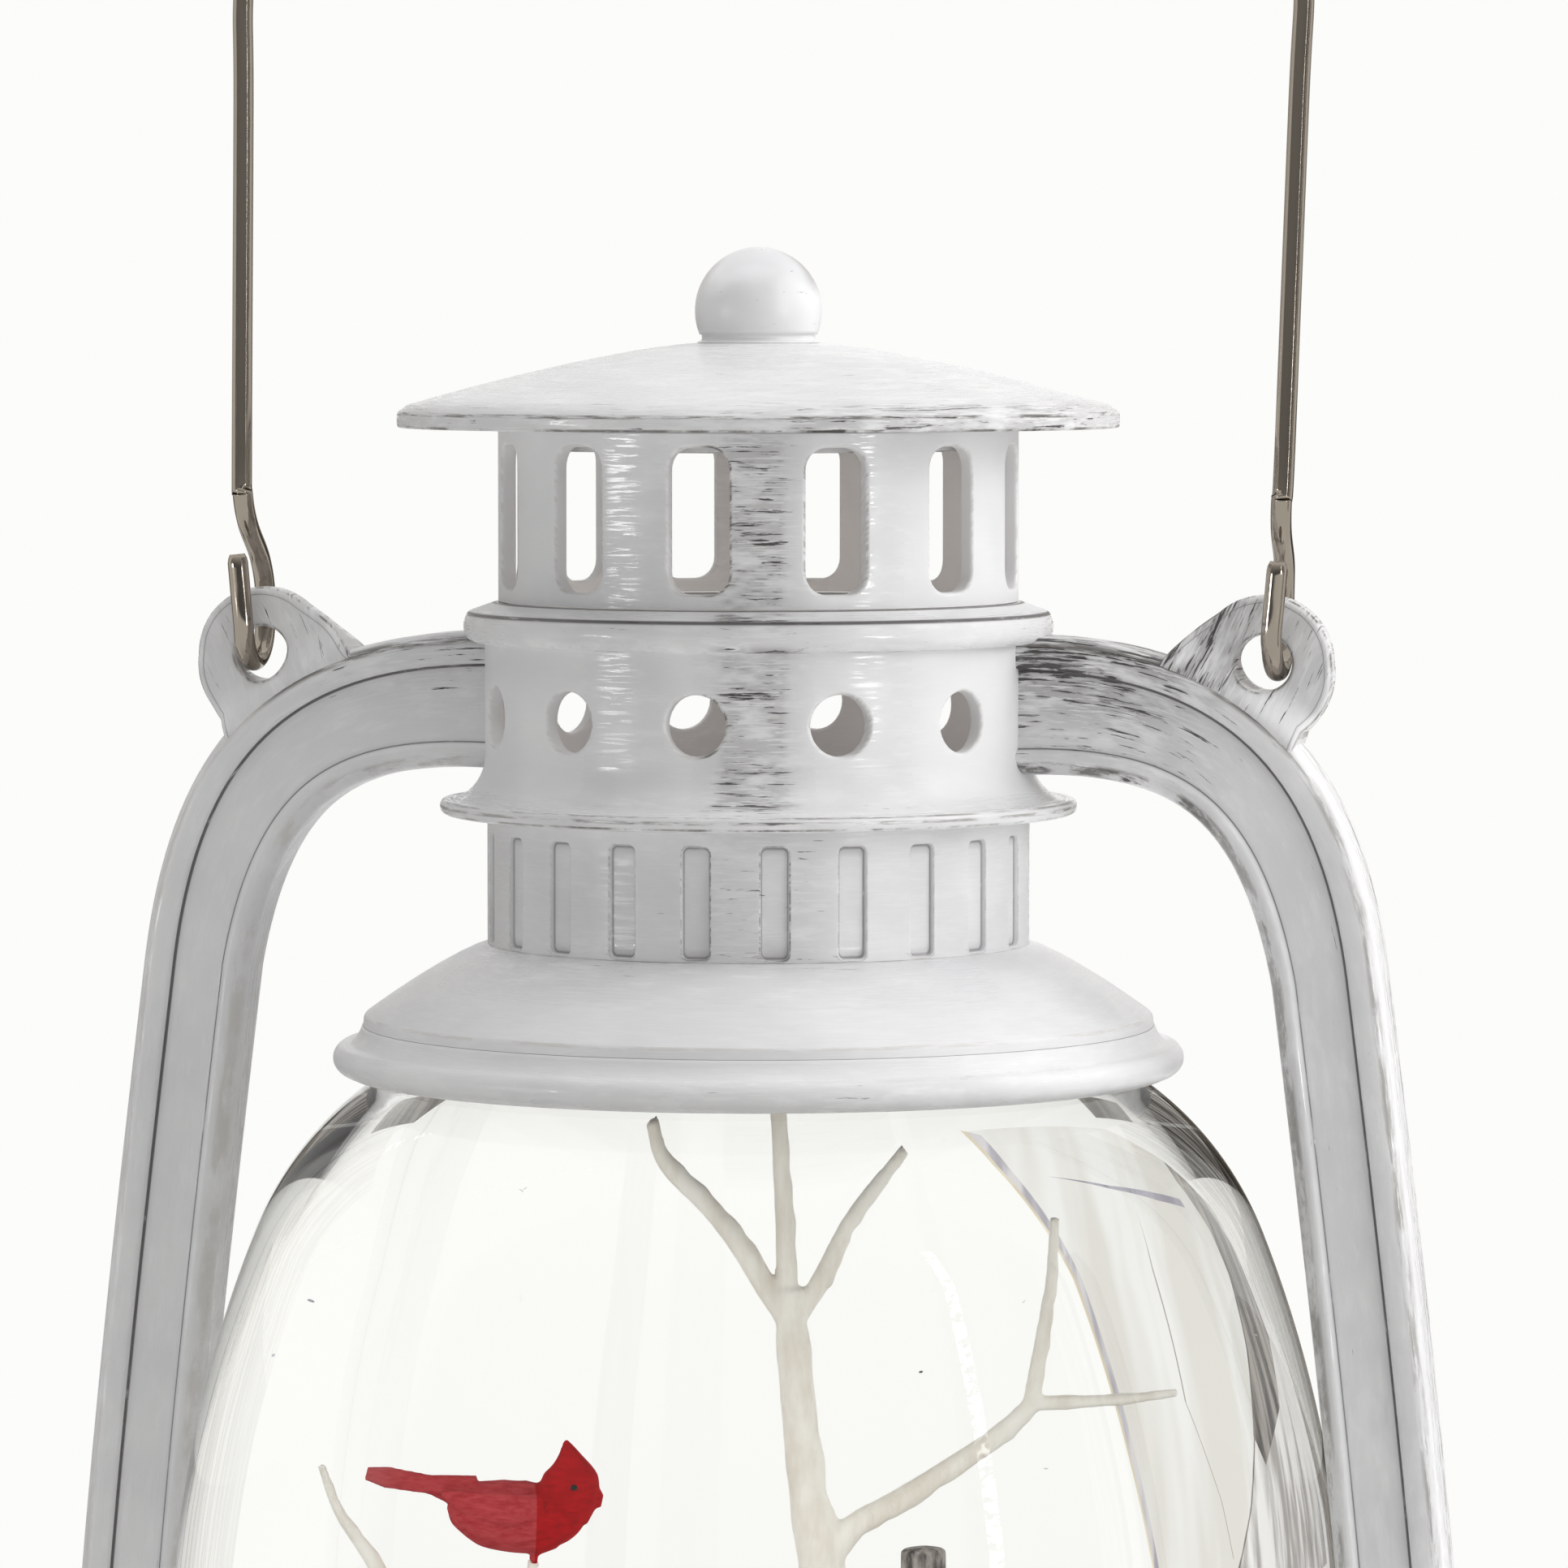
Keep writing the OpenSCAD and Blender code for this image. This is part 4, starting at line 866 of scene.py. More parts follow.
def set_cards():
    """What the globe bends into view: the lantern's shadow on the floor, painted on sheets with its edges and
    lines, and dark streaks beyond.
    """
    # The shade sheets are painted shadow: the lantern's pale shadow on the floor, with its darker edges and
    # lines.
    for name, outline, height, dark, light, streaks in (
            ("shade_pale", SHADE_EDGE + SHADE_END[::-1] + [(-72, 190)], 0.2, "#DEDCD5", "#EFEFED", 0.035),
            ("shade_fringe", beside(SHADE_EDGE, 1.4) + beside(SHADE_EDGE, -1.0)[::-1], 0.3, "#D9CDB0",
             "#E8E0CB", 0.1),
            ("shade_edge", SHADE_EDGE + beside(SHADE_EDGE, -3.6)[::-1], 0.4, "#A9A6AF", "#D9D6D8", 0.14),
            ("shade_end", SHADE_END + beside(SHADE_END, -1.4)[::-1], 0.5, "#4A3D31", "#8E8474", 0.1),
            ("shade_line", [(-100, 262), (-127, 325), (-147, 372), (-182, 405), (-205, 436), (-206, 436),
                            (-183, 405), (-148, 372), (-128, 325)], 0.5, "#A39C92", "#B5AFA6", 0.1),
            ("shade_wedge", [(-64, 272), (-85, 252), (-104, 226), (-116, 208), (-121, 213), (-107, 233),
                             (-86, 255)], 0.5, "#8F8B99", "#AFACB8", 0.1),
            ("streaks_near", SHADE_END[:6] + [(-212, 335), (-214, 262), (-196, 212), (-160, 182),
                                              (-124, 166)], 0.2, "#2B2725", "#A39C94", 0.11),
            ("streaks_mid", [(-196, 330), (-207, 383), (-216, 470), (-300, 420), (-343, 287), (-298, 249),
                             (-240, 215), (-196, 176), (-140, 150), (-124, 166), (-160, 182), (-196, 212),
                             (-214, 262), (-212, 335)], 0.2, "#A5A09C", "#F0EFED", 0.1),
            ("rim_white", [(-196, 176), (-240, 215), (-298, 249), (-343, 287), (-352, 276), (-306, 236),
                           (-250, 205), (-200, 168)], 0.2, "#FFFFFF", "#FFFFFF", 0.1),
            ("rim_dark", [(-200, 168), (-250, 205), (-306, 236), (-352, 276), (-420, 330), (-470, 300),
                          (-330, 190), (-230, 120)], 0.2, "#3A342F", "#A39A8D", 0.14),
            ("patch_right", [(-57, 165), (-67, 181), (-81, 150), (-73, 132)], 0.6, "#5E5954", "#8A857F", 0.1),
            ("patch_left", [(54, 172), (70, 182), (88, 150), (74, 122)], 0.6, "#4E4A46", "#8A857F", 0.1)):
        floor_card(name, outline, height, dark, light, streaks)
    # Flags beside the backdrop darken the edges of the globe and of the wires
    for name, degrees_left, width, low, high, dark, light in (
            ("flag_right", -33, 0.68, -0.1, 0.22, "#1C1917", "#8F877C"),
            ("flag_right_high", -33, 0.68, 0.22, 0.6, "#7A746C", "#ECE8E1"),
            ("flag_left", 36, 0.62, -0.1, 0.22, "#4A4540", "#CBC4B8"),
            ("flag_left_high", 36, 0.62, 0.22, 0.6, "#A8A29A", "#F1EEE9"),
            ("side_dark", -99, 0.075, -0.1, 0.6, "#1D1916", "#9A8C78"),
            ("side_white", -103.6, 0.03, -0.1, 0.6, "#FFFFFF", "#FFFFFF"),
            ("side_line", -105.2, 0.016, -0.1, 0.6, "#0E0C0B", "#1C1917"),
            ("side_pale", -108.5, 0.08, -0.1, 0.6, "#B9B5B1", "#E4E2DF")):
        sheet = upright_card(name, degrees_left, width, low, high, FLAG_DISTANCE, dark, light, 0.09)
        sheet.visible_transmission = name.startswith("side")
    # Lamps that only mirrors see. Two have rows of cells, so that their images are dashed. The strips are
    # low and far off.
    cells = (0.25, 0.25, 1)
    for name, degrees_left, width, distance, low, high, dark, power in (
            ("cells_right", -134, 0.045, 0.85, 0.2, 0.95, "#3A3A3A", 9.0),
            ("cells_left", 46, 0.02, 0.85, 0.1, 0.95, "#6A6A6A", 3.0),
            ("strip_right", -134, 0.9, 4.5, -0.2, 0.46, "#FFFFFF", 18.0),
            ("strip_left", 118, 1.1, 4.5, -0.2, 0.46, "#FFFFFF", 15.0)):
        sheet = upright_card(name, degrees_left, width, low, high, distance, dark, "#FFFFFF", 0.1,
                             power, cells)
        sheet.visible_transmission = False


def lamp(name, kind, power, place):
    """A lamp that neither mirrors nor the globe show."""
    data = bpy.data.lights.new(name, kind)
    data.energy = power
    light = placed(name, data)
    light.location = place
    light.visible_glossy = False
    light.visible_transmission = False
    return light


def set_lamps():
    """Large lamps to the right and above, and a small warm one inside the upper gallery."""
    for name, azimuth, height, distance, size, power in (
            ("key", 108, 0.75, 0.9, 0.7, 6.0), ("top", -30, 1.3, 0.35, 0.6, 3.1),
            ("right", 72, 0.33, 0.42, 0.2, 0.42)):
        turn = math.radians(azimuth)
        light = lamp(name, "AREA", power, (math.sin(turn) * distance, -math.cos(turn) * distance, height))
        light.data.size = size
        aim = Vector((0, 0, LAMP_AIM)) - light.location
        light.rotation_euler = aim.to_track_quat("-Z", "Y").to_euler()
    inside = lamp("inside", "POINT", 0.0025, (0, 0, UPPER_LOW[2] * MM + 0.006))
    inside.data.color = linear("#FFF0DF")[:3]
    inside.data.shadow_soft_size = 0.008


def cap_profile():
    """Roof outline: domed top, thin rounded rim and flat underside."""
    base, top = ROOF_LOW[2] + 2.0, ROOF_HIGH[2]
    edge = base + 2.0
    rim = ROOF_HIGH[0]
    inner = KNOB_HIGH[0] - 0.1
    collar = UPPER_HIGH[0] - 2.6
    rise = top - edge
    dome = []
    for k in range(15):
        r = inner + (rim - 1.0 - inner) * k / 14
        dome.append((r, top - rise * ((r - inner) / (rim - inner)) ** 1.35))
    return ([(0.0, top), (inner - 0.6, top, 0.3)] + dome
            + [(rim, edge - 0.45, 0.35), (rim, base + 0.1, 0.4), (collar, base, 0.2), (collar, base - 2, 0.2),
               (UPPER_HIGH[0] - 4, base - 2, 0.2), (UPPER_HIGH[0] - 4.4, base + 1, 0.5), (0.0, top - 1.6)])


class LANTERN_OT_cap(bpy.types.Operator):
    """Ball knob and domed roof"""
    bl_idname = "lantern.cap"
    bl_label = "Cap"

    def execute(self, context):
        roof = lathe("cap_roof_skin", cap_profile(), "brushed_enamel", 192)
        enamelled(roof, "cap_roof",
                  lambda a, z, r: 0.35 + 0.35 * smooth_step(r, 30, 34) + 0.25 * bump_at(a, 45, 50)
                  * smooth_step(r, 8, 20))
        radius = KNOB_HIGH[0]
        centre = KNOB_HIGH[2] - radius
        base = ROOF_HIGH[2]
        ball = arc_points(0, centre, radius, 89.9, -22, 22)
        knob = lathe("cap_knob_skin", [(0.0, KNOB_HIGH[2])] + ball
                     + [(radius - 0.62, base + 0.9), (radius - 0.7, base + 0.3, 0.2),
                        (radius - 0.1, base + 0.02, 0.2), (0.0, base)], "silvered_knob", 96)
        show(knob, ["cap_knob"])
        return {"FINISHED"}


def gallery_heavy(azimuth, z, r):
    """Charcoal lies on the front of the galleries, a little to the right of the middle."""
    return (0.06 + 0.9 * bump_at(azimuth, 12, 14) + 0.36 * bump_at(azimuth, -16, 13)
            + 0.3 * bump_at(azimuth, 38, 12) + 0.5 * bump_at(azimuth, 200, 30))


class LANTERN_OT_galleries(bpy.types.Operator):
    """Slotted gallery, bead, gallery with round holes and drip flange"""
    bl_idname = "lantern.galleries"
    bl_label = "Galleries"

    def execute(self, context):
        sizes = context.scene.lantern_sizes
        enamel = material("brushed_enamel")
        tree = ring_tree()
        radius = UPPER_HIGH[0]
        low, high = UPPER_LOW[2] + 3.0, UPPER_HIGH[2]
        slot = stadium(5.9, 13.7, 2.05)
        slots = drum_sector("slots", radius, OPENINGS, low, high, (low + high) / 2, slot, sizes.edge_round)
        slots = grown(slots, tree, "upper_gallery_skin", count=OPENINGS, weld=WELD, finish=enamel)
        outward(slots)
        enamelled(slots, "upper_gallery", gallery_heavy)
        low, high = FLANGE_Z + 5.7, FLANGE_Z + 16.3
        hole = stadium(5.8, 5.8, 2.9)
        holes = drum_sector("holes", LOWER_R, OPENINGS, low, high, FLANGE_Z + 9.7, hole, sizes.edge_round)
        holes = grown(holes, tree, "lower_gallery_skin", count=OPENINGS, weld=WELD, finish=enamel)
        flange = lathe("flange", flange_profile(), "brushed_enamel", 192)
        bead = lathe("bead", bead_profile(high), "brushed_enamel", 192)
        piece = joined("lower_gallery_skin", [holes, flange, bead])
        enamelled(piece, "lower_gallery", lambda a, z, r: gallery_heavy(a, z, r)
                  * (0.3 + 0.7 * smooth_step(-r, -28.5, -27.5)) + 0.42 * smooth_step(r, 27, 28.2))
        return {"FINISHED"}


def flange_profile():
    """Concave flare under the holes that ends in a rounded drip lip, with the floor inside."""
    z = FLANGE_Z - 0.1
    r = LOWER_HIGH[0]
    top = FLANGE_Z + 5.7
    flare = arc_points(LOWER_R + FLARE, top, FLARE, 180, 247, 12)
    lip = [(r - 1.2, z + 1.62, 0.3), (r - 0.25, z + 1.55, 0.35), (r, z + 1.0, 0.35), (r - 0.2, z + 0.3, 0.3),
           (r - 0.8, z + 0.1, 0.3)]
    floor = [(8.0, z + 0.1, 0.1), (8.0, z + 1.5, 0.1), (LOWER_R - WALL, z + 1.5, 0.3), (LOWER_R - WALL, top)]
    return flare + lip + floor


def bead_profile(z):
    """Rounded bead that carries the upper gallery. Its top slopes out to a worn edge."""
    top = LOWER_HIGH[2]
    r = BEAD_R
    seat = UPPER_HIGH[0] - 0.6
    foot = [(LOWER_R, z), (LOWER_R, z + 0.3, 0.3), (r - 1.4, z + 0.35, 0.4)]
    curve = arc_points(r - 1.25, z + 1.55, 1.25, -75, 3, 8)
    edge = [(r, top - 2.0), (r - 0.3, top - 0.95, 0.5), (UPPER_HIGH[0] + 0.4, top, 0.4)]
    inside = [(seat, top, 0.1), (seat, top - 3.2, 0.1), (LOWER_R - WALL, top - 3.2, 0.1), (LOWER_R - WALL, z)]
    return foot + curve + edge + inside


class LANTERN_OT_neck(bpy.types.Operator):
    """Fluted neck"""
    bl_idname = "lantern.neck"
    bl_label = "Fluted neck"

    def execute(self, context):
        radius = NECK_HIGH[0]
        low, high = NECK_LOW[2] + 2.0, NECK_HIGH[2]
        flute = stadium(2.7, high - low - 1.75, 0.6, 5)
        middle = (low + high) / 2 - 0.6
        sector = drum_sector("flute", radius, FLUTES, low, high, middle, flute, 0.16, sunk=0.5)
        neck = grown(sector, ring_tree(), "fluted_neck_skin", count=FLUTES, weld=WELD,
                     finish=material("brushed_enamel"))
        outward(neck)
        enamelled(neck, "fluted_neck", lambda a, z, r: 0.2 + 0.5 * bump_at(a, 13, 22)
                  * smooth_step(np.abs(z - 184), 2, 5) + 0.2 * bump_at(a, -20, 12))
        return {"FINISHED"}


def hood_profile():
    """Cone, shoulder line, hollow and rolled brim."""
    top, low = HOOD_HIGH[2], HOOD_LOW[2]
    brim = HOOD_HIGH[0]
    neck = NECK_HIGH[0]
    shoulder_r, shoulder_z = 38.0, low + 5.8
    cone = []
    for k in range(9):
        t = k / 8
        cone.append((neck + (shoulder_r - neck) * t, top + (shoulder_z - top) * t ** 1.25))
    cone[-1] = (shoulder_r, shoulder_z, 0.35)
    hollow = arc_points(brim + 0.4, low + 5.6, 3.3, 195, 232, 7)
    roll = arc_points(brim - 1.5, low + 1.7, 1.5, 62, -60, 10)
    return ([(neck - 1.4, top), cone[0][:2] + (0.2,)] + cone[1:] + [(shoulder_r + 0.1, low + 4.8, 0.2)]
            + hollow + roll
            + [(brim - 1.7, low, 0.2), (GLOBE_NECK + 1.2, low, 0.1), (GLOBE_NECK + 1.2, low + 2.2, 0.1),
               (shoulder_r - 1.5, low + 2.2, 0.1), (shoulder_r - 1.7, low + 3.7, 0.1),
               (neck - 1.4, top - 2.6, 0.1), (neck - 1.4, top)])


class LANTERN_OT_hood(bpy.types.Operator):
    """Globe hood with its brim"""
    bl_idname = "lantern.hood"
    bl_label = "Hood"

    def execute(self, context):
        hood = lathe("globe_hood_skin", hood_profile(), "brushed_enamel", 224)
        enamelled(hood, "globe_hood",
                  lambda a, z, r: 0.22 + 0.5 * smooth_step(z, 174, 178) * bump_at(a, 0, 60)
                  + 0.35 * smooth_step(r, 38.5, 40.5) * bump_at(a, 20, 40))
        return {"FINISHED"}


def globe_profile(inset):
    """Outline of the globe's outside, moved in by inset."""
    widest = GLOBE_HIGH[0]
    side, turn, shoulder = 120.3, 21.45, 32.3
    mid = GLOBE_MID
    cx = widest - side + (side - shoulder) * math.cos(math.radians(turn))
    cz = (side - shoulder) * math.sin(math.radians(turn))
    points = arc_points(cx, mid + cz, shoulder - inset, 90, turn, 40)
    points += arc_points(widest - side, mid, side - inset, turn, -turn, 60)[1:]
    points += arc_points(cx, mid - cz, shoulder - inset, -turn, -51, 20)[1:]
    return points


class LANTERN_OT_globe(bpy.types.Operator):
    """Clear globe: a polished outside and a wetted inside"""
    bl_idname = "lantern.globe"
    bl_label = "Globe"

    def execute(self, context):
        low = GLOBE_LOW[2]
        outer = globe_profile(0)
        inner = globe_profile(GLOBE_WALL)
        ends = [(GLOBE_NECK, outer[-1][1], 0.8), (GLOBE_NECK, low, 0.2), (GLOBE_NECK - GLOBE_WALL, low, 0.2),
                (GLOBE_NECK - GLOBE_WALL, inner[-1][1] + 0.4, 0.8)]
        profile = [(0.0, outer[0][1])] + outer + ends + inner[::-1] + [(0.0, inner[0][1])]
        globe = lathe("globe_shell", profile, "acrylic_outside", 256)
        outward(globe)
        globe.data.materials.append(material("acrylic_wetted"))
        wet = []
        for face in globe.data.polygons:
            radial = Vector((face.center.x, face.center.y, (face.center.z / MM - GLOBE_MID) * MM))
            wet.append(1 if face.normal.dot(radial) < 0 else 0)
        globe.data.polygons.foreach_set("material_index", wet)
        show(globe, ["globe"])
        return {"FINISHED"}


# Centre line of the right arm as three curves of (x, z), from the lower gallery to the tank
ARM_CURVES = (((22, 201.0), (42, 202.3), (52.3, 196.5), (55.65, 175.5)),
              ((55.65, 175.5), (58.6, 152), (63.2, 115), (64.6, 85)),
              ((64.6, 85), (65.3, 70), (66.2, 52), (50, 34)))
ARM_ROOT, ARM_WIDTH = 13.5, 10.7
CURVE_STEPS = 40
EAR = np.array([49.4, 205.4])
EAR_R, EAR_HOLE, EAR_HALF = 6.45, 2.65, 1.5
EAR_POINTS = 96


def arm_line():
    """Centre line of the right arm with its half widths, distance along it and outward directions."""
    points = []
    for curve in ARM_CURVES:
        points += [bezier(curve, k / CURVE_STEPS) for k in range(1 if points else 0, CURVE_STEPS + 1)]
    points = np.array(points)
    keep = (points[:, 0] > LOWER_R - 2.0) & ~((points[:, 1] < 37.5) & (points[:, 0] < 60))
    first = np.arange(len(points)) / CURVE_STEPS
    half = np.where(first < 1, ARM_ROOT + (ARM_WIDTH - ARM_ROOT) * first, ARM_WIDTH) / 2
    tangent = np.gradient(points, axis=0)
    tangent /= np.linalg.norm(tangent, axis=1)[:, None]
    away = np.stack([-tangent[:, 1], tangent[:, 0]], 1)
    points, half, away = points[keep], half[keep], away[keep]
    along = np.concatenate([[0], np.cumsum(np.linalg.norm(np.diff(points, axis=0), axis=1))])
    return points, half, along, away


def arm_section(half, sizes):
    """Outline of an arm as (out, front, mark): band, step, sunk panel, inner rim and round inner side."""
    depth = (ARM_HIGH[1] - ARM_LOW[1]) / 2
    front = depth - sizes.arm_sunk
    step = half - sizes.arm_band
    rim = -half + sizes.arm_rim
    # Negative marks at the step's foot and beside the inner rim draw a dark line of painted shade.
    upper = [(half, 0.0, 0.0), (half, -depth + 1.6, 0.0), (half - 0.25, -depth + 0.7, 0.5),
             (half - 0.8, -depth + 0.12, 1.0), (half - 1.4, -depth, 0.3),
             (step + sizes.edge_round, -depth, 0.0), (step + 0.12, -depth + 0.1, 0.15),
             (step, -depth + 0.35, 0.2), (step - 0.05, -front - 0.12, -1.0), (step - 0.22, -front, -1.0),
             (step - 0.4, -front, -0.4), (step - 1.0, -front, 0.0)]
    lower = [(rim + 0.9, -front, 0.0), (rim + 0.45, -front - 0.03, -0.4), (rim + 0.25, -front - 0.1, -0.9),
             (rim - 0.05, -depth + 0.25, 0.1), (rim - 0.3, -depth + 0.05, 0.0),
             (rim - 0.7, -depth + 0.06, 0.2), (-half + 1.0, -depth + 0.35, 0.95),
             (-half + 0.45, -depth + 0.8, 1.0), (-half + 0.12, -depth + 1.5, 0.6), (-half, -depth + 2.3, 0.0),
             (-half, 0.0, 0.0)]
    half_ring = upper + lower
    back = [(o, -f, m) for o, f, m in reversed(half_ring[1:-1])]
    return half_ring + back


def arm_mesh(sizes):
    """Points, faces, edge marks and brush places of the right arm."""
    points, half, along, away = arm_line()
    verts, marks, brush = [], [], []
    for p, h, s, n in zip(points, half, along, away):
        for out, front, mark in arm_section(h, sizes):
            verts.append((p[0] + n[0] * out, front, p[1] + n[1] * out))
            marks.append(mark)
            brush.append((s, 0.3 * front, out + 0.7 * front))
    rows = len(points)
    around = len(verts) // rows
    faces = band(rows, around) + [row_of(0, around)[::-1], row_of(rows - 1, around)]
    return verts, faces, marks, brush


def ear_outline():
    """Outline of an ear: a ramp up from the arm, a disc round the hole, a lobe and a root in the arm."""
    foot = EAR + (-10.1, -0.5)
    away = EAR - foot
    turn = math.atan2(away[1], away[0]) + math.asin(EAR_R / np.linalg.norm(away))
    touch = foot + math.sqrt(away @ away - EAR_R ** 2) * np.array([math.cos(turn), math.sin(turn)])
    swell = np.array([-0.25, 0.3])
    ramp_line = [foot + (touch - foot) * (k / 8) + swell * math.sin(math.pi * k / 8) for k in range(8)]
    start = math.degrees(math.atan2(touch[1] - EAR[1], touch[0] - EAR[0]))
    ring = []
    for a in np.linspace(start, -60, 60):
        r = EAR_R + 1.1 * max(0.0, -a / 60)
        ring.append(EAR + r * np.array([math.cos(math.radians(a)), math.sin(math.radians(a))]))
    points, half, _, out = arm_line()
    inside = points + out * (half - 1.9)[:, None]
    root = [p for p in inside[::-1] if foot[0] - 1.0 < p[0] < ring[-1][0] - 0.9]
    return np.array(ramp_line + ring + root)


def ear_lift(shape):
    """Half thickness of an ear: thin round its hole, and rising to the arm's faces near the arm."""
    points, half, _, out = arm_line()
    near = np.argmin(((shape[:, None, :] - points[None, :, :]) ** 2).sum(2), 1)
    beyond = ((shape - points[near]) * out[near]).sum(1) - half[near]
    depth = (ARM_HIGH[1] - ARM_LOW[1]) / 2
    rise = (depth - 0.08 - EAR_HALF) * (1 - smooth_step(beyond, -0.6, 3.4))
    return EAR_HALF + rise - 0.6 * smooth_step(-beyond, 0.7, 1.7)


def reach(direction, outline):
    """Distance from the ear's centre to its outline."""
    best = 0.0
    for p, q in zip(outline, np.roll(outline, -1, 0)):
        e, w = q - p, p - EAR
        det = direction[1] * e[0] - direction[0] * e[1]
        if abs(det) < 1e-9:
            continue
        t = (w[1] * e[0] - w[0] * e[1]) / det
        u = (direction[0] * w[1] - direction[1] * w[0]) / det
        if -1e-6 <= u <= 1 + 1e-6 and t > best:
            best = t
    return best


def ear_mesh():
    """The same four lists for an ear with a round hole, whose faces rise to meet the arm's band."""
    outline = ear_outline()
    angles = [math.pi - 2 * math.pi * k / EAR_POINTS for k in range(EAR_POINTS)]
    away = np.array([[math.cos(a), math.sin(a)] for a in angles])
    rim = np.array([EAR + d * reach(d, outline) for d in away])
    hole = EAR + EAR_HOLE * away
    lip = hole + away * 0.4
    brow = rim - away * 0.7
    front = [(hole, ear_lift(hole) - 0.4, 0.0), (hole + away * 0.12, ear_lift(hole) - 0.12, 0.8),
             (lip, ear_lift(lip), 0.3)]
    for t in (0.12, 0.26, 0.4, 0.54, 0.68, 0.8, 0.9, 0.96):
        shape = lip * (1 - t) + brow * t
        front.append((shape, ear_lift(shape), -0.2 if t > 0.93 else 0.0))
    # The brow's negative mark draws a dark line of painted shade under the ear's raised rim.
    front += [(brow, ear_lift(brow), -0.85), (brow + away * 0.08, ear_lift(brow) + 0.06, 0.3),
              (rim - away * 0.25, ear_lift(rim) - 0.12, 0.2), (rim - away * 0.06, ear_lift(rim) - 0.35, 1.0),
              (rim, ear_lift(rim) - 0.6, 0.6)]
    level = np.zeros(EAR_POINTS)
    loops = [(hole, level, 0.0)] + front + [(rim, level, 0.0)]
    loops += [(shape, -depth, mark) for shape, depth, mark in reversed(front)]
    verts, marks, brush = [], [], []
    for shape, depth, mark in loops:
        verts += [(x, -d, z) for (x, z), d in zip(shape, depth)]
        marks += [mark] * EAR_POINTS
        brush += [(0.9 * z + 0.4 * x, 0.3 * d, 0.9 * x - 0.4 * z) for (x, z), d in zip(shape, depth)]
    return verts, band(len(loops), EAR_POINTS, closed=True), marks, brush


class LANTERN_OT_arms(bpy.types.Operator):
    """Both side arms with their ears"""
    bl_idname = "lantern.arms"
    bl_label = "Arms"

    def execute(self, context):
        arm, ear = arm_mesh(context.scene.lantern_sizes), ear_mesh()
        for side, name in ((1, "right_arm"), (-1, "left_arm")):
            verts, faces = merged([arm[:2], ear[:2]])
            verts = np.array(verts) * (side, 1, 1)
            piece = new_piece(name + "_skin", verts, faces, "brushed_enamel")
            store(piece, "edge", arm[2] + ear[2])
            marks = np.array(arm[3] + ear[3], float)
            marks[:, 1] += 40 * side
            store(piece, "brush", marks * MM, "FLOAT_VECTOR")
            x, z = np.abs(verts[:, 0]), verts[:, 2]
            root = smooth_step(z, 186, 196) * smooth_step(-x, -52, -40)
            # The ears get extra charcoal wash: partly their real strokes, partly painted shade for the ear
            # sunk below its raised rim.
            ears = smooth_step(z, 198, 204)
            charcoal_and_ear_shade = (0.42 + 0.34 * root + 0.4 * ears) if side > 0 else 0.24 + 0.12 * root + 0.4 * ears
            store(piece, "heavy", charcoal_and_ear_shade)
            show(piece, [name])
        return {"FINISHED"}


# The bail's hook: place, radius, height of its centre, rise and splay of its tip. Then its leg and its lean
HOOK_X, HOOK_R, HOOK_Z, TIP_H, SPLAY = 50.5, 3.7, 208.3, 6.8, 0.6
LEG_X, LEG_Z, LEAN = 52.3, 268.6, 0.1
WIRE_R = 1.0


def bail_path():
    """Right half of the bail and its mirror: hook tip, U through the ear, kinked leg and arch."""
    top = span("bail_handle")[1][2] - WIRE_R
    hook = [(HOOK_X + SPLAY, -HOOK_R, HOOK_Z + TIP_H), (HOOK_X + SPLAY / 2, -HOOK_R, HOOK_Z + TIP_H / 2)]
    hook += [(HOOK_X, HOOK_R * math.cos(a), HOOK_Z + HOOK_R * math.sin(a))
             for a in [math.radians(180 + 22.5 * k) for k in range(9)]]
    hook += [(HOOK_X, HOOK_R, HOOK_Z + 3.2), (HOOK_X + 0.2, HOOK_R - 1.1, HOOK_Z + 6.4),
             (HOOK_X + 0.4, -0.6, HOOK_Z + 9.6), (HOOK_X + 0.6, -1.7, HOOK_Z + 12.6),
             (HOOK_X + 0.8, -1.3, HOOK_Z + 16.6)]
    # The leg starts at the hook's last point and leans back
    leg_y = -1.3 + LEAN * (LEG_Z - HOOK_Z - 16.6)
    rise = top - LEG_Z
    arch = [(LEG_X - 0.3, leg_y - 1, LEG_Z - 10), (LEG_X, leg_y, LEG_Z)]
    arch += [(LEG_X * math.cos(a), leg_y + LEAN * rise * math.sin(a), LEG_Z + rise * math.sin(a))
             for a in [math.radians(7.5 * k) for k in range(1, 13)]]
    right = hook + arch
    return right + [(-x, y, z) for x, y, z in reversed(right[:-1])]


class LANTERN_OT_bail(bpy.types.Operator):
    """Wire bail"""
    bl_idname = "lantern.bail"
    bl_label = "Bail"

    def execute(self, context):
        path = curved(bail_path(), 8)
        radii = np.full(len(path), WIRE_R)
        # The wire's cut ends are rounded over
        for k, r in ((0, 0.75), (1, 0.93), (-1, 0.75), (-2, 0.93)):
            radii[k] = r
        verts, faces = tube_mesh(path, radii, 24)
        bail = new_piece("bail_wire", verts, faces, "nickel_wire")
        show(bail, ["bail_handle"], "bail")
        return {"FINISHED"}


def in_scene(verts):
    """Points of the scene's plane, turned to face a little to the side."""
    t = math.radians(SCENE_TURN)
    v = np.asarray(verts, float)
    return np.stack([v[:, 0] * math.cos(t) - v[:, 1] * math.sin(t),
                     v[:, 0] * math.sin(t) + v[:, 1] * math.cos(t), v[:, 2]], 1)


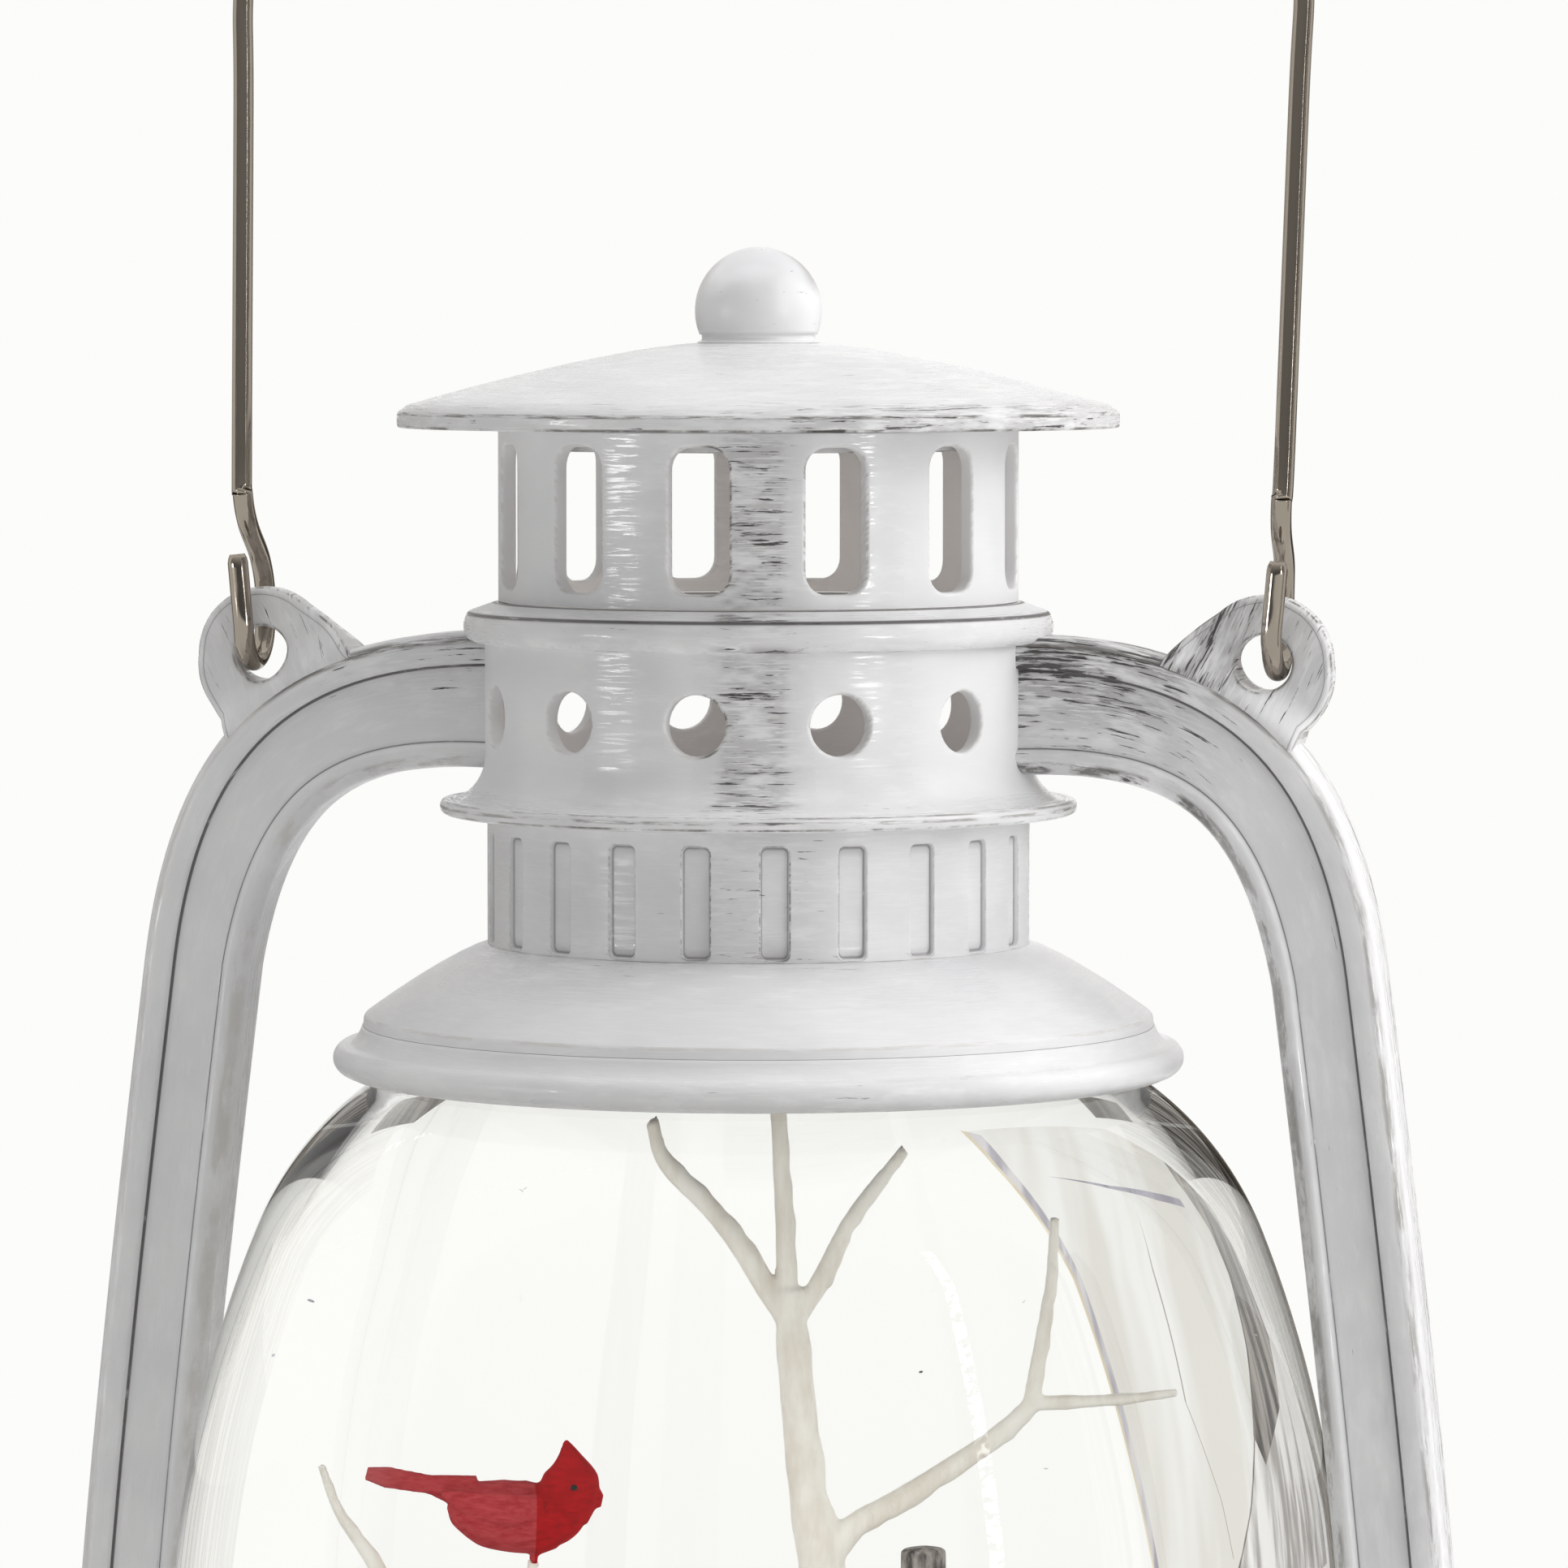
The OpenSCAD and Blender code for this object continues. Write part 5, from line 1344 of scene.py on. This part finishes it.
def fused(name, parts, finish, voxel_mm, smooth=4):
    """Overlapping tubes fused into one skin."""
    verts, faces = merged(parts)
    piece = new_piece(name, in_scene(verts), faces, finish)
    remesh = piece.modifiers.new("fuse", "REMESH")
    remesh.mode = "VOXEL"
    remesh.voxel_size = voxel_mm * MM
    remesh.use_smooth_shade = True
    soft = piece.modifiers.new("soften", "SMOOTH")
    soft.iterations = smooth
    soft.factor = 0.5
    return settled(piece, name)


def flat(points):
    """Points (x, z) of the scene's plane in space."""
    return [(x, 0.0, z) for x, z in points]


def twig(points, r0, r1, seed):
    """A limb of the scene's plane with small knots and a slight wobble."""
    path = curved(flat(points), 7)
    t = np.linspace(0, 1, len(path))
    rng = np.random.default_rng(seed)
    wave = sum(math.sqrt(0.5) * np.sin(2 * math.pi * (f * t + rng.random())) for f in (3, 7, 11)) / 3
    path = path + np.stack([0.22 * wave, 0.15 * wave[::-1], 0 * wave], 1) * (1 - np.abs(2 * t - 1)[:, None])
    radii = (r0 + (r1 - r0) * t) * (1 + 0.16 * wave)
    return tube_mesh(path, radii, 10)


def tapered(points, per_span, stops, radii, sides, flatness=1.0):
    """A tube along a smooth path. Its radii are given at stops from 0 to 1."""
    path = curved(points, per_span)
    return tube_mesh(path, np.interp(np.linspace(0, 1, len(path)), stops, radii), sides, flatness)


def mound_top(r):
    """Height of the snow mound at a distance from the axis."""
    return PLUG_TOP + 4 + 11 * math.cos(min(1, r / MOUND_R) * math.pi / 2)


# Limbs as points of the scene's plane, with their radii at the root and at the tip
TREE = (
    ([(6.5, mound_top(6.5) - 2), (5.4, 90), (5, 108), (4.7, 116.5), (3.8, 122.3), (2.9, 131.3), (2.2, 141)],
     2.5, 1.1),
    ([(2.4, 138), (-0.2, 142.2), (-3.2, 145.6), (-7, 148.6), (-8.2, 151)], 0.95, 0.5),
    ([(2.3, 137.5), (1.9, 146), (1.4, 153)], 0.9, 0.6),
    ([(2.2, 138), (4.4, 141.2), (7.1, 145.4), (11.1, 149.4)], 0.95, 0.42),
    ([(4.6, 117), (6.6, 120.2), (11, 123.2), (17.4, 128.1), (20.4, 131.3)], 1.25, 0.75),
    ([(20, 130.8), (21.4, 139.7), (22.2, 145.7)], 0.7, 0.38),
    ([(19.8, 131), (26.6, 131.3), (31.3, 131.9)], 0.7, 0.38))
SAPLING = (
    ([(-13, mound_top(13) - 2), (-16, 80), (-22, 104), (-28, 116.6), (-31, 121.5), (-32.6, 125.6)],
     1.15, 0.33),
    ([(-18.5, 90), (-17.4, 106), (-16.4, 117.6)], 0.8, 0.45))


class LANTERN_OT_winter_scene(bpy.types.Operator):
    """Tree, sapling, post, cardinal, snow and glitter inside the globe"""
    bl_idname = "lantern.winter_scene"
    bl_label = "Winter scene"

    def execute(self, context):
        tree = [twig(*limb, seed) for seed, limb in enumerate(TREE, 1)]
        show(fused("main_tree_skin", tree, "painted_twig", 0.22), ["main_tree"])
        sapling = [twig(*limb, seed) for seed, limb in enumerate(SAPLING, len(TREE) + 1)]
        show(fused("left_sapling_skin", sapling, "painted_twig", 0.2), ["left_sapling"])
        post = tapered([(12, 0, z) for z in (mound_top(12) - 2, 85, 105, 117.2, 118.3, 118.8)], 5,
                       [0, 0.8, 0.9, 1], [1.7, 1.65, 1.5, 0.5], 20)
        show(fused("birch_post_skin", [post], "birch_bark", 0.2, 2), ["birch_post"])
        self.bird()
        self.snow(context)
        return {"FINISHED"}

    def bird(self):
        """A perched songbird that looks to the right: breast, crest, cone beak, folded wings and long tail."""
        body = tapered(flat([(-22.4, 122.9), (-21, 122.2), (-19, 121.5), (-16.8, 121.3), (-15, 121.7),
                             (-13.9, 122.6)]), 6,
                       [0, 0.12, 0.35, 0.6, 0.8, 1], [1.0, 2.0, 3.0, 3.15, 2.7, 1.9], 20, 0.85)
        breast = tube_mesh(flat([(-17.6, 120.6), (-16.2, 120.2), (-15, 120.4)]), [1.8, 2.3, 1.8], 16)
        head = tapered(flat([(-14.6, 121.6), (-13.9, 123.4), (-13.7, 125.0), (-13.8, 126.4), (-14.1, 128.0)]),
                       5, [0, 0.25, 0.5, 0.75, 1], [2.3, 2.35, 2.0, 1.0, 0.12], 18, 0.85)
        beak = tube_mesh(flat([(-12.4, 123.5), (-11.9, 122.9), (-11.6, 122.1)]), [0.9, 0.7, 0.15], 12)
        tail = tapered(flat([(-21, 123.2), (-23.6, 123.9), (-26.4, 124.4), (-29.0, 124.9)]), 5,
                       [0, 0.4, 0.8, 1], [1.7, 0.85, 0.95, 0.6], 14, 0.45)
        wings = [tapered([(-15.8, s * 2.3, 122.8), (-18, s * 2.75, 122.4), (-20.6, s * 2.1, 122.6),
                          (-23.4, s * 0.9, 123.4)], 5, [0, 0.4, 0.8, 1], [0.9, 1.5, 1.0, 0.3], 14, 0.35)
                 for s in (1, -1)]
        legs = [tube_mesh([(-16.4, s * 0.7, 119.0), (-16.4, s * 0.5, 117.4)], [0.3, 0.3], 8) for s in (1, -1)]
        parts = [body, breast, head, beak, tail] + wings + legs
        bird = fused("cardinal_skin", parts, "painted_bird", 0.16, 3)
        turn = math.radians(-SCENE_TURN)
        co = points_of(bird)
        along = co[:, 0] * math.cos(turn) - co[:, 1] * math.sin(turn)
        store(bird, "head", smooth_step(along, -16.6, -16.2))
        show(bird, ["cardinal"])
        eyes = [tube_mesh([(-13.6, s * (1.55 + 0.2 * k), 124.1) for k in range(3)], [0.36, 0.34, 0.15], 12)
                for s in (1, -1)]
        verts, faces = merged(eyes)
        show(new_piece("cardinal_eyes", in_scene(verts), faces, "bead_black", merge_mm=0.002), [])

    def snow(self, context):
        """The mound, gently uneven, with flakes on it."""
        top = [(MOUND_R * k / 24, mound_top(MOUND_R * k / 24)) for k in range(25)]
        snow = lathe("snow_mound_skin", top + [(MOUND_R, PLUG_TOP + 0.1, 0.3), (0.0, PLUG_TOP + 0.1)],
                     "sifted_snow", 120)
        co = points_of(snow)
        lift = smooth_step(co[:, 2], PLUG_TOP + 3, PLUG_TOP + 6)
        wave = (np.sin(co[:, 0] * 0.42 + 1) * np.cos(co[:, 1] * 0.37) * 0.55
                + np.sin(co[:, 0] * 1.1 + co[:, 1] * 0.9) * 0.2)
        co[:, 2] += lift * (wave - 0.5)
        snow.data.vertices.foreach_set("co", (co * MM).ravel())
        flakes = snow.copy()
        flakes.data = snow.data.copy()
        context.scene.collection.objects.link(flakes)
        show(snow, ["snow_mound"])
        glitter = grown(flakes, flake_tree(), "glitter", density=9.0e4,
                        flake_radius=context.scene.lantern_sizes.flake * MM, seed=4,
                        finish=material("silver_glitter"))
        show(glitter, [])
        self.drifting()

    def drifting(self):
        """Glitter flakes that float in the liquid."""
        tree = flake_tree()
        for number, scale in enumerate((0.45, 0.8)):
            shell = lathe("drift",
                          [(r * scale, 112 + (z - GLOBE_MID) * 0.72) for r, z in globe_profile(6)[::6]],
                          "silver_glitter", 48)
            drift = grown(shell, tree, f"drifting_glitter_{number + 1}", density=900.0, seed=7 + number,
                          flake_radius=0.2 * MM, finish=material("silver_glitter"))
            show(drift, [])


def base_heavy(azimuth, z, r):
    """Charcoal lies on the base's front, to the right, and thinly at its back."""
    return 0.25 + 0.6 * bump_at(azimuth, 20, 35) + 0.35 * bump_at(azimuth, 160, 60)


class LANTERN_OT_base(bpy.types.Operator):
    """Globe seat and tank"""
    bl_idname = "lantern.base"
    bl_label = "Base"

    def execute(self, context):
        seat_r = SEAT_HIGH[0]
        top, low = SEAT_HIGH[2], SEAT_LOW[2]
        tank_top = TANK_HIGH[2]
        seat = lathe("globe_seat_skin", [
            (GLOBE_NECK + 3.5, top - 0.4), (40.6, top, 0.3), (41.5, top - 2.2, 0.5),
            (41.5, tank_top + 3.2, 0.6), (seat_r, tank_top + 1.7, 0.3), (seat_r, tank_top + 0.1, 0.2),
            (GLOBE_NECK + 2.1, tank_top + 0.1, 0.1), (GLOBE_NECK + 2.1, low, 0.1),
            (GLOBE_NECK + 0.1, low, 0.1), (GLOBE_NECK + 0.1, top - 3.4)], "brushed_enamel", 192)
        enamelled(seat, "globe_seat", base_heavy)
        r = TANK_HIGH[0]
        z0 = TANK_LOW[2]
        shoulder = arc_points(r - 7, tank_top - 8, 7, 72, 0, 12)
        inner = arc_points(r - 7, tank_top - 8, 5, 0, 72, 8)
        tank = lathe("base_tank_skin",
                     [(GLOBE_NECK + 2.3, tank_top, 0.1), (GLOBE_NECK + 8.5, tank_top)] + shoulder
                     + [(r, z0 + 9, 0.0), (r, z0 + 1.2, 0.5), (r - 1.2, z0, 0.4), (r - 2, z0, 0.3)] + inner
                     + [(GLOBE_NECK + 8.5, tank_top - 2), (GLOBE_NECK + 2.3, tank_top - 2, 0.1),
                        (GLOBE_NECK + 2.3, tank_top)], "brushed_enamel", 224)
        enamelled(tank, "base_tank", base_heavy)
        return {"FINISHED"}


# CAD nodes that keep their shape, by finish
FINISHES = {
    "plated_steel": ("knob_nut", "gallery_screws", "impeller_pin", "motor", "motor_shaft", "cover_screws",
                     "arm_screws", "battery_contacts"),
    "white_abs": ("scene_plug", "impeller", "drive_hub", "motor_mount", "bottom_cover", "battery_door",
                  "base_foot"),
    "black_abs": ("battery_box", "switch_body", "switch_slider"),
    "black_rubber": ("hood_gasket", "fill_plug", "globe_gasket"),
    "grey_rubber": ("rubber_pads",),
    "sintered_magnet": ("impeller_magnet", "drive_magnets"),
    "green_laminate": ("led_board", "circuit_board"),
    "warm_lens": ("leds",),
    "cell_sleeve": ("batteries",)}


class LANTERN_OT_works(bpy.types.Operator):
    """Finishes of the pieces that keep their CAD shape"""
    bl_idname = "lantern.works"
    bl_label = "Works"

    def execute(self, context):
        for finish, nodes in FINISHES.items():
            for node in nodes:
                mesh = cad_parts[node].data
                mesh.materials.clear()
                mesh.materials.append(material(finish))
        return {"FINISHED"}


class LANTERN_PT_panel(bpy.types.Panel):
    """Lists the lantern's pieces"""
    bl_idname = "LANTERN_PT_panel"
    bl_label = "Hurricane Water Globe"
    bl_space_type = "VIEW_3D"
    bl_region_type = "UI"
    bl_category = "Lantern"

    def draw(self, context):
        for group in (context.scene.lantern_sizes, context.scene.lantern_finish):
            for key in group.__annotations__:
                self.layout.prop(group, key)
        for operator in OPERATORS:
            self.layout.operator(operator.bl_idname)


OPERATORS = (LANTERN_OT_stage, LANTERN_OT_cap, LANTERN_OT_galleries, LANTERN_OT_neck, LANTERN_OT_hood,
             LANTERN_OT_globe, LANTERN_OT_arms, LANTERN_OT_bail, LANTERN_OT_winter_scene, LANTERN_OT_base,
             LANTERN_OT_works)
CLASSES = (LanternSizes, LanternFinish) + OPERATORS + (LANTERN_PT_panel,)


def register():
    for item in CLASSES:
        bpy.utils.register_class(item)
    bpy.types.Scene.lantern_sizes = bpy.props.PointerProperty(type=LanternSizes)
    bpy.types.Scene.lantern_finish = bpy.props.PointerProperty(type=LanternFinish)


def unregister():
    del bpy.types.Scene.lantern_finish
    del bpy.types.Scene.lantern_sizes
    for item in reversed(CLASSES):
        bpy.utils.unregister_class(item)


def main():
    register()
    for operator in OPERATORS:
        group, name = operator.bl_idname.split(".")
        getattr(getattr(bpy.ops, group), name)()


if __name__ == "__main__":
    main()
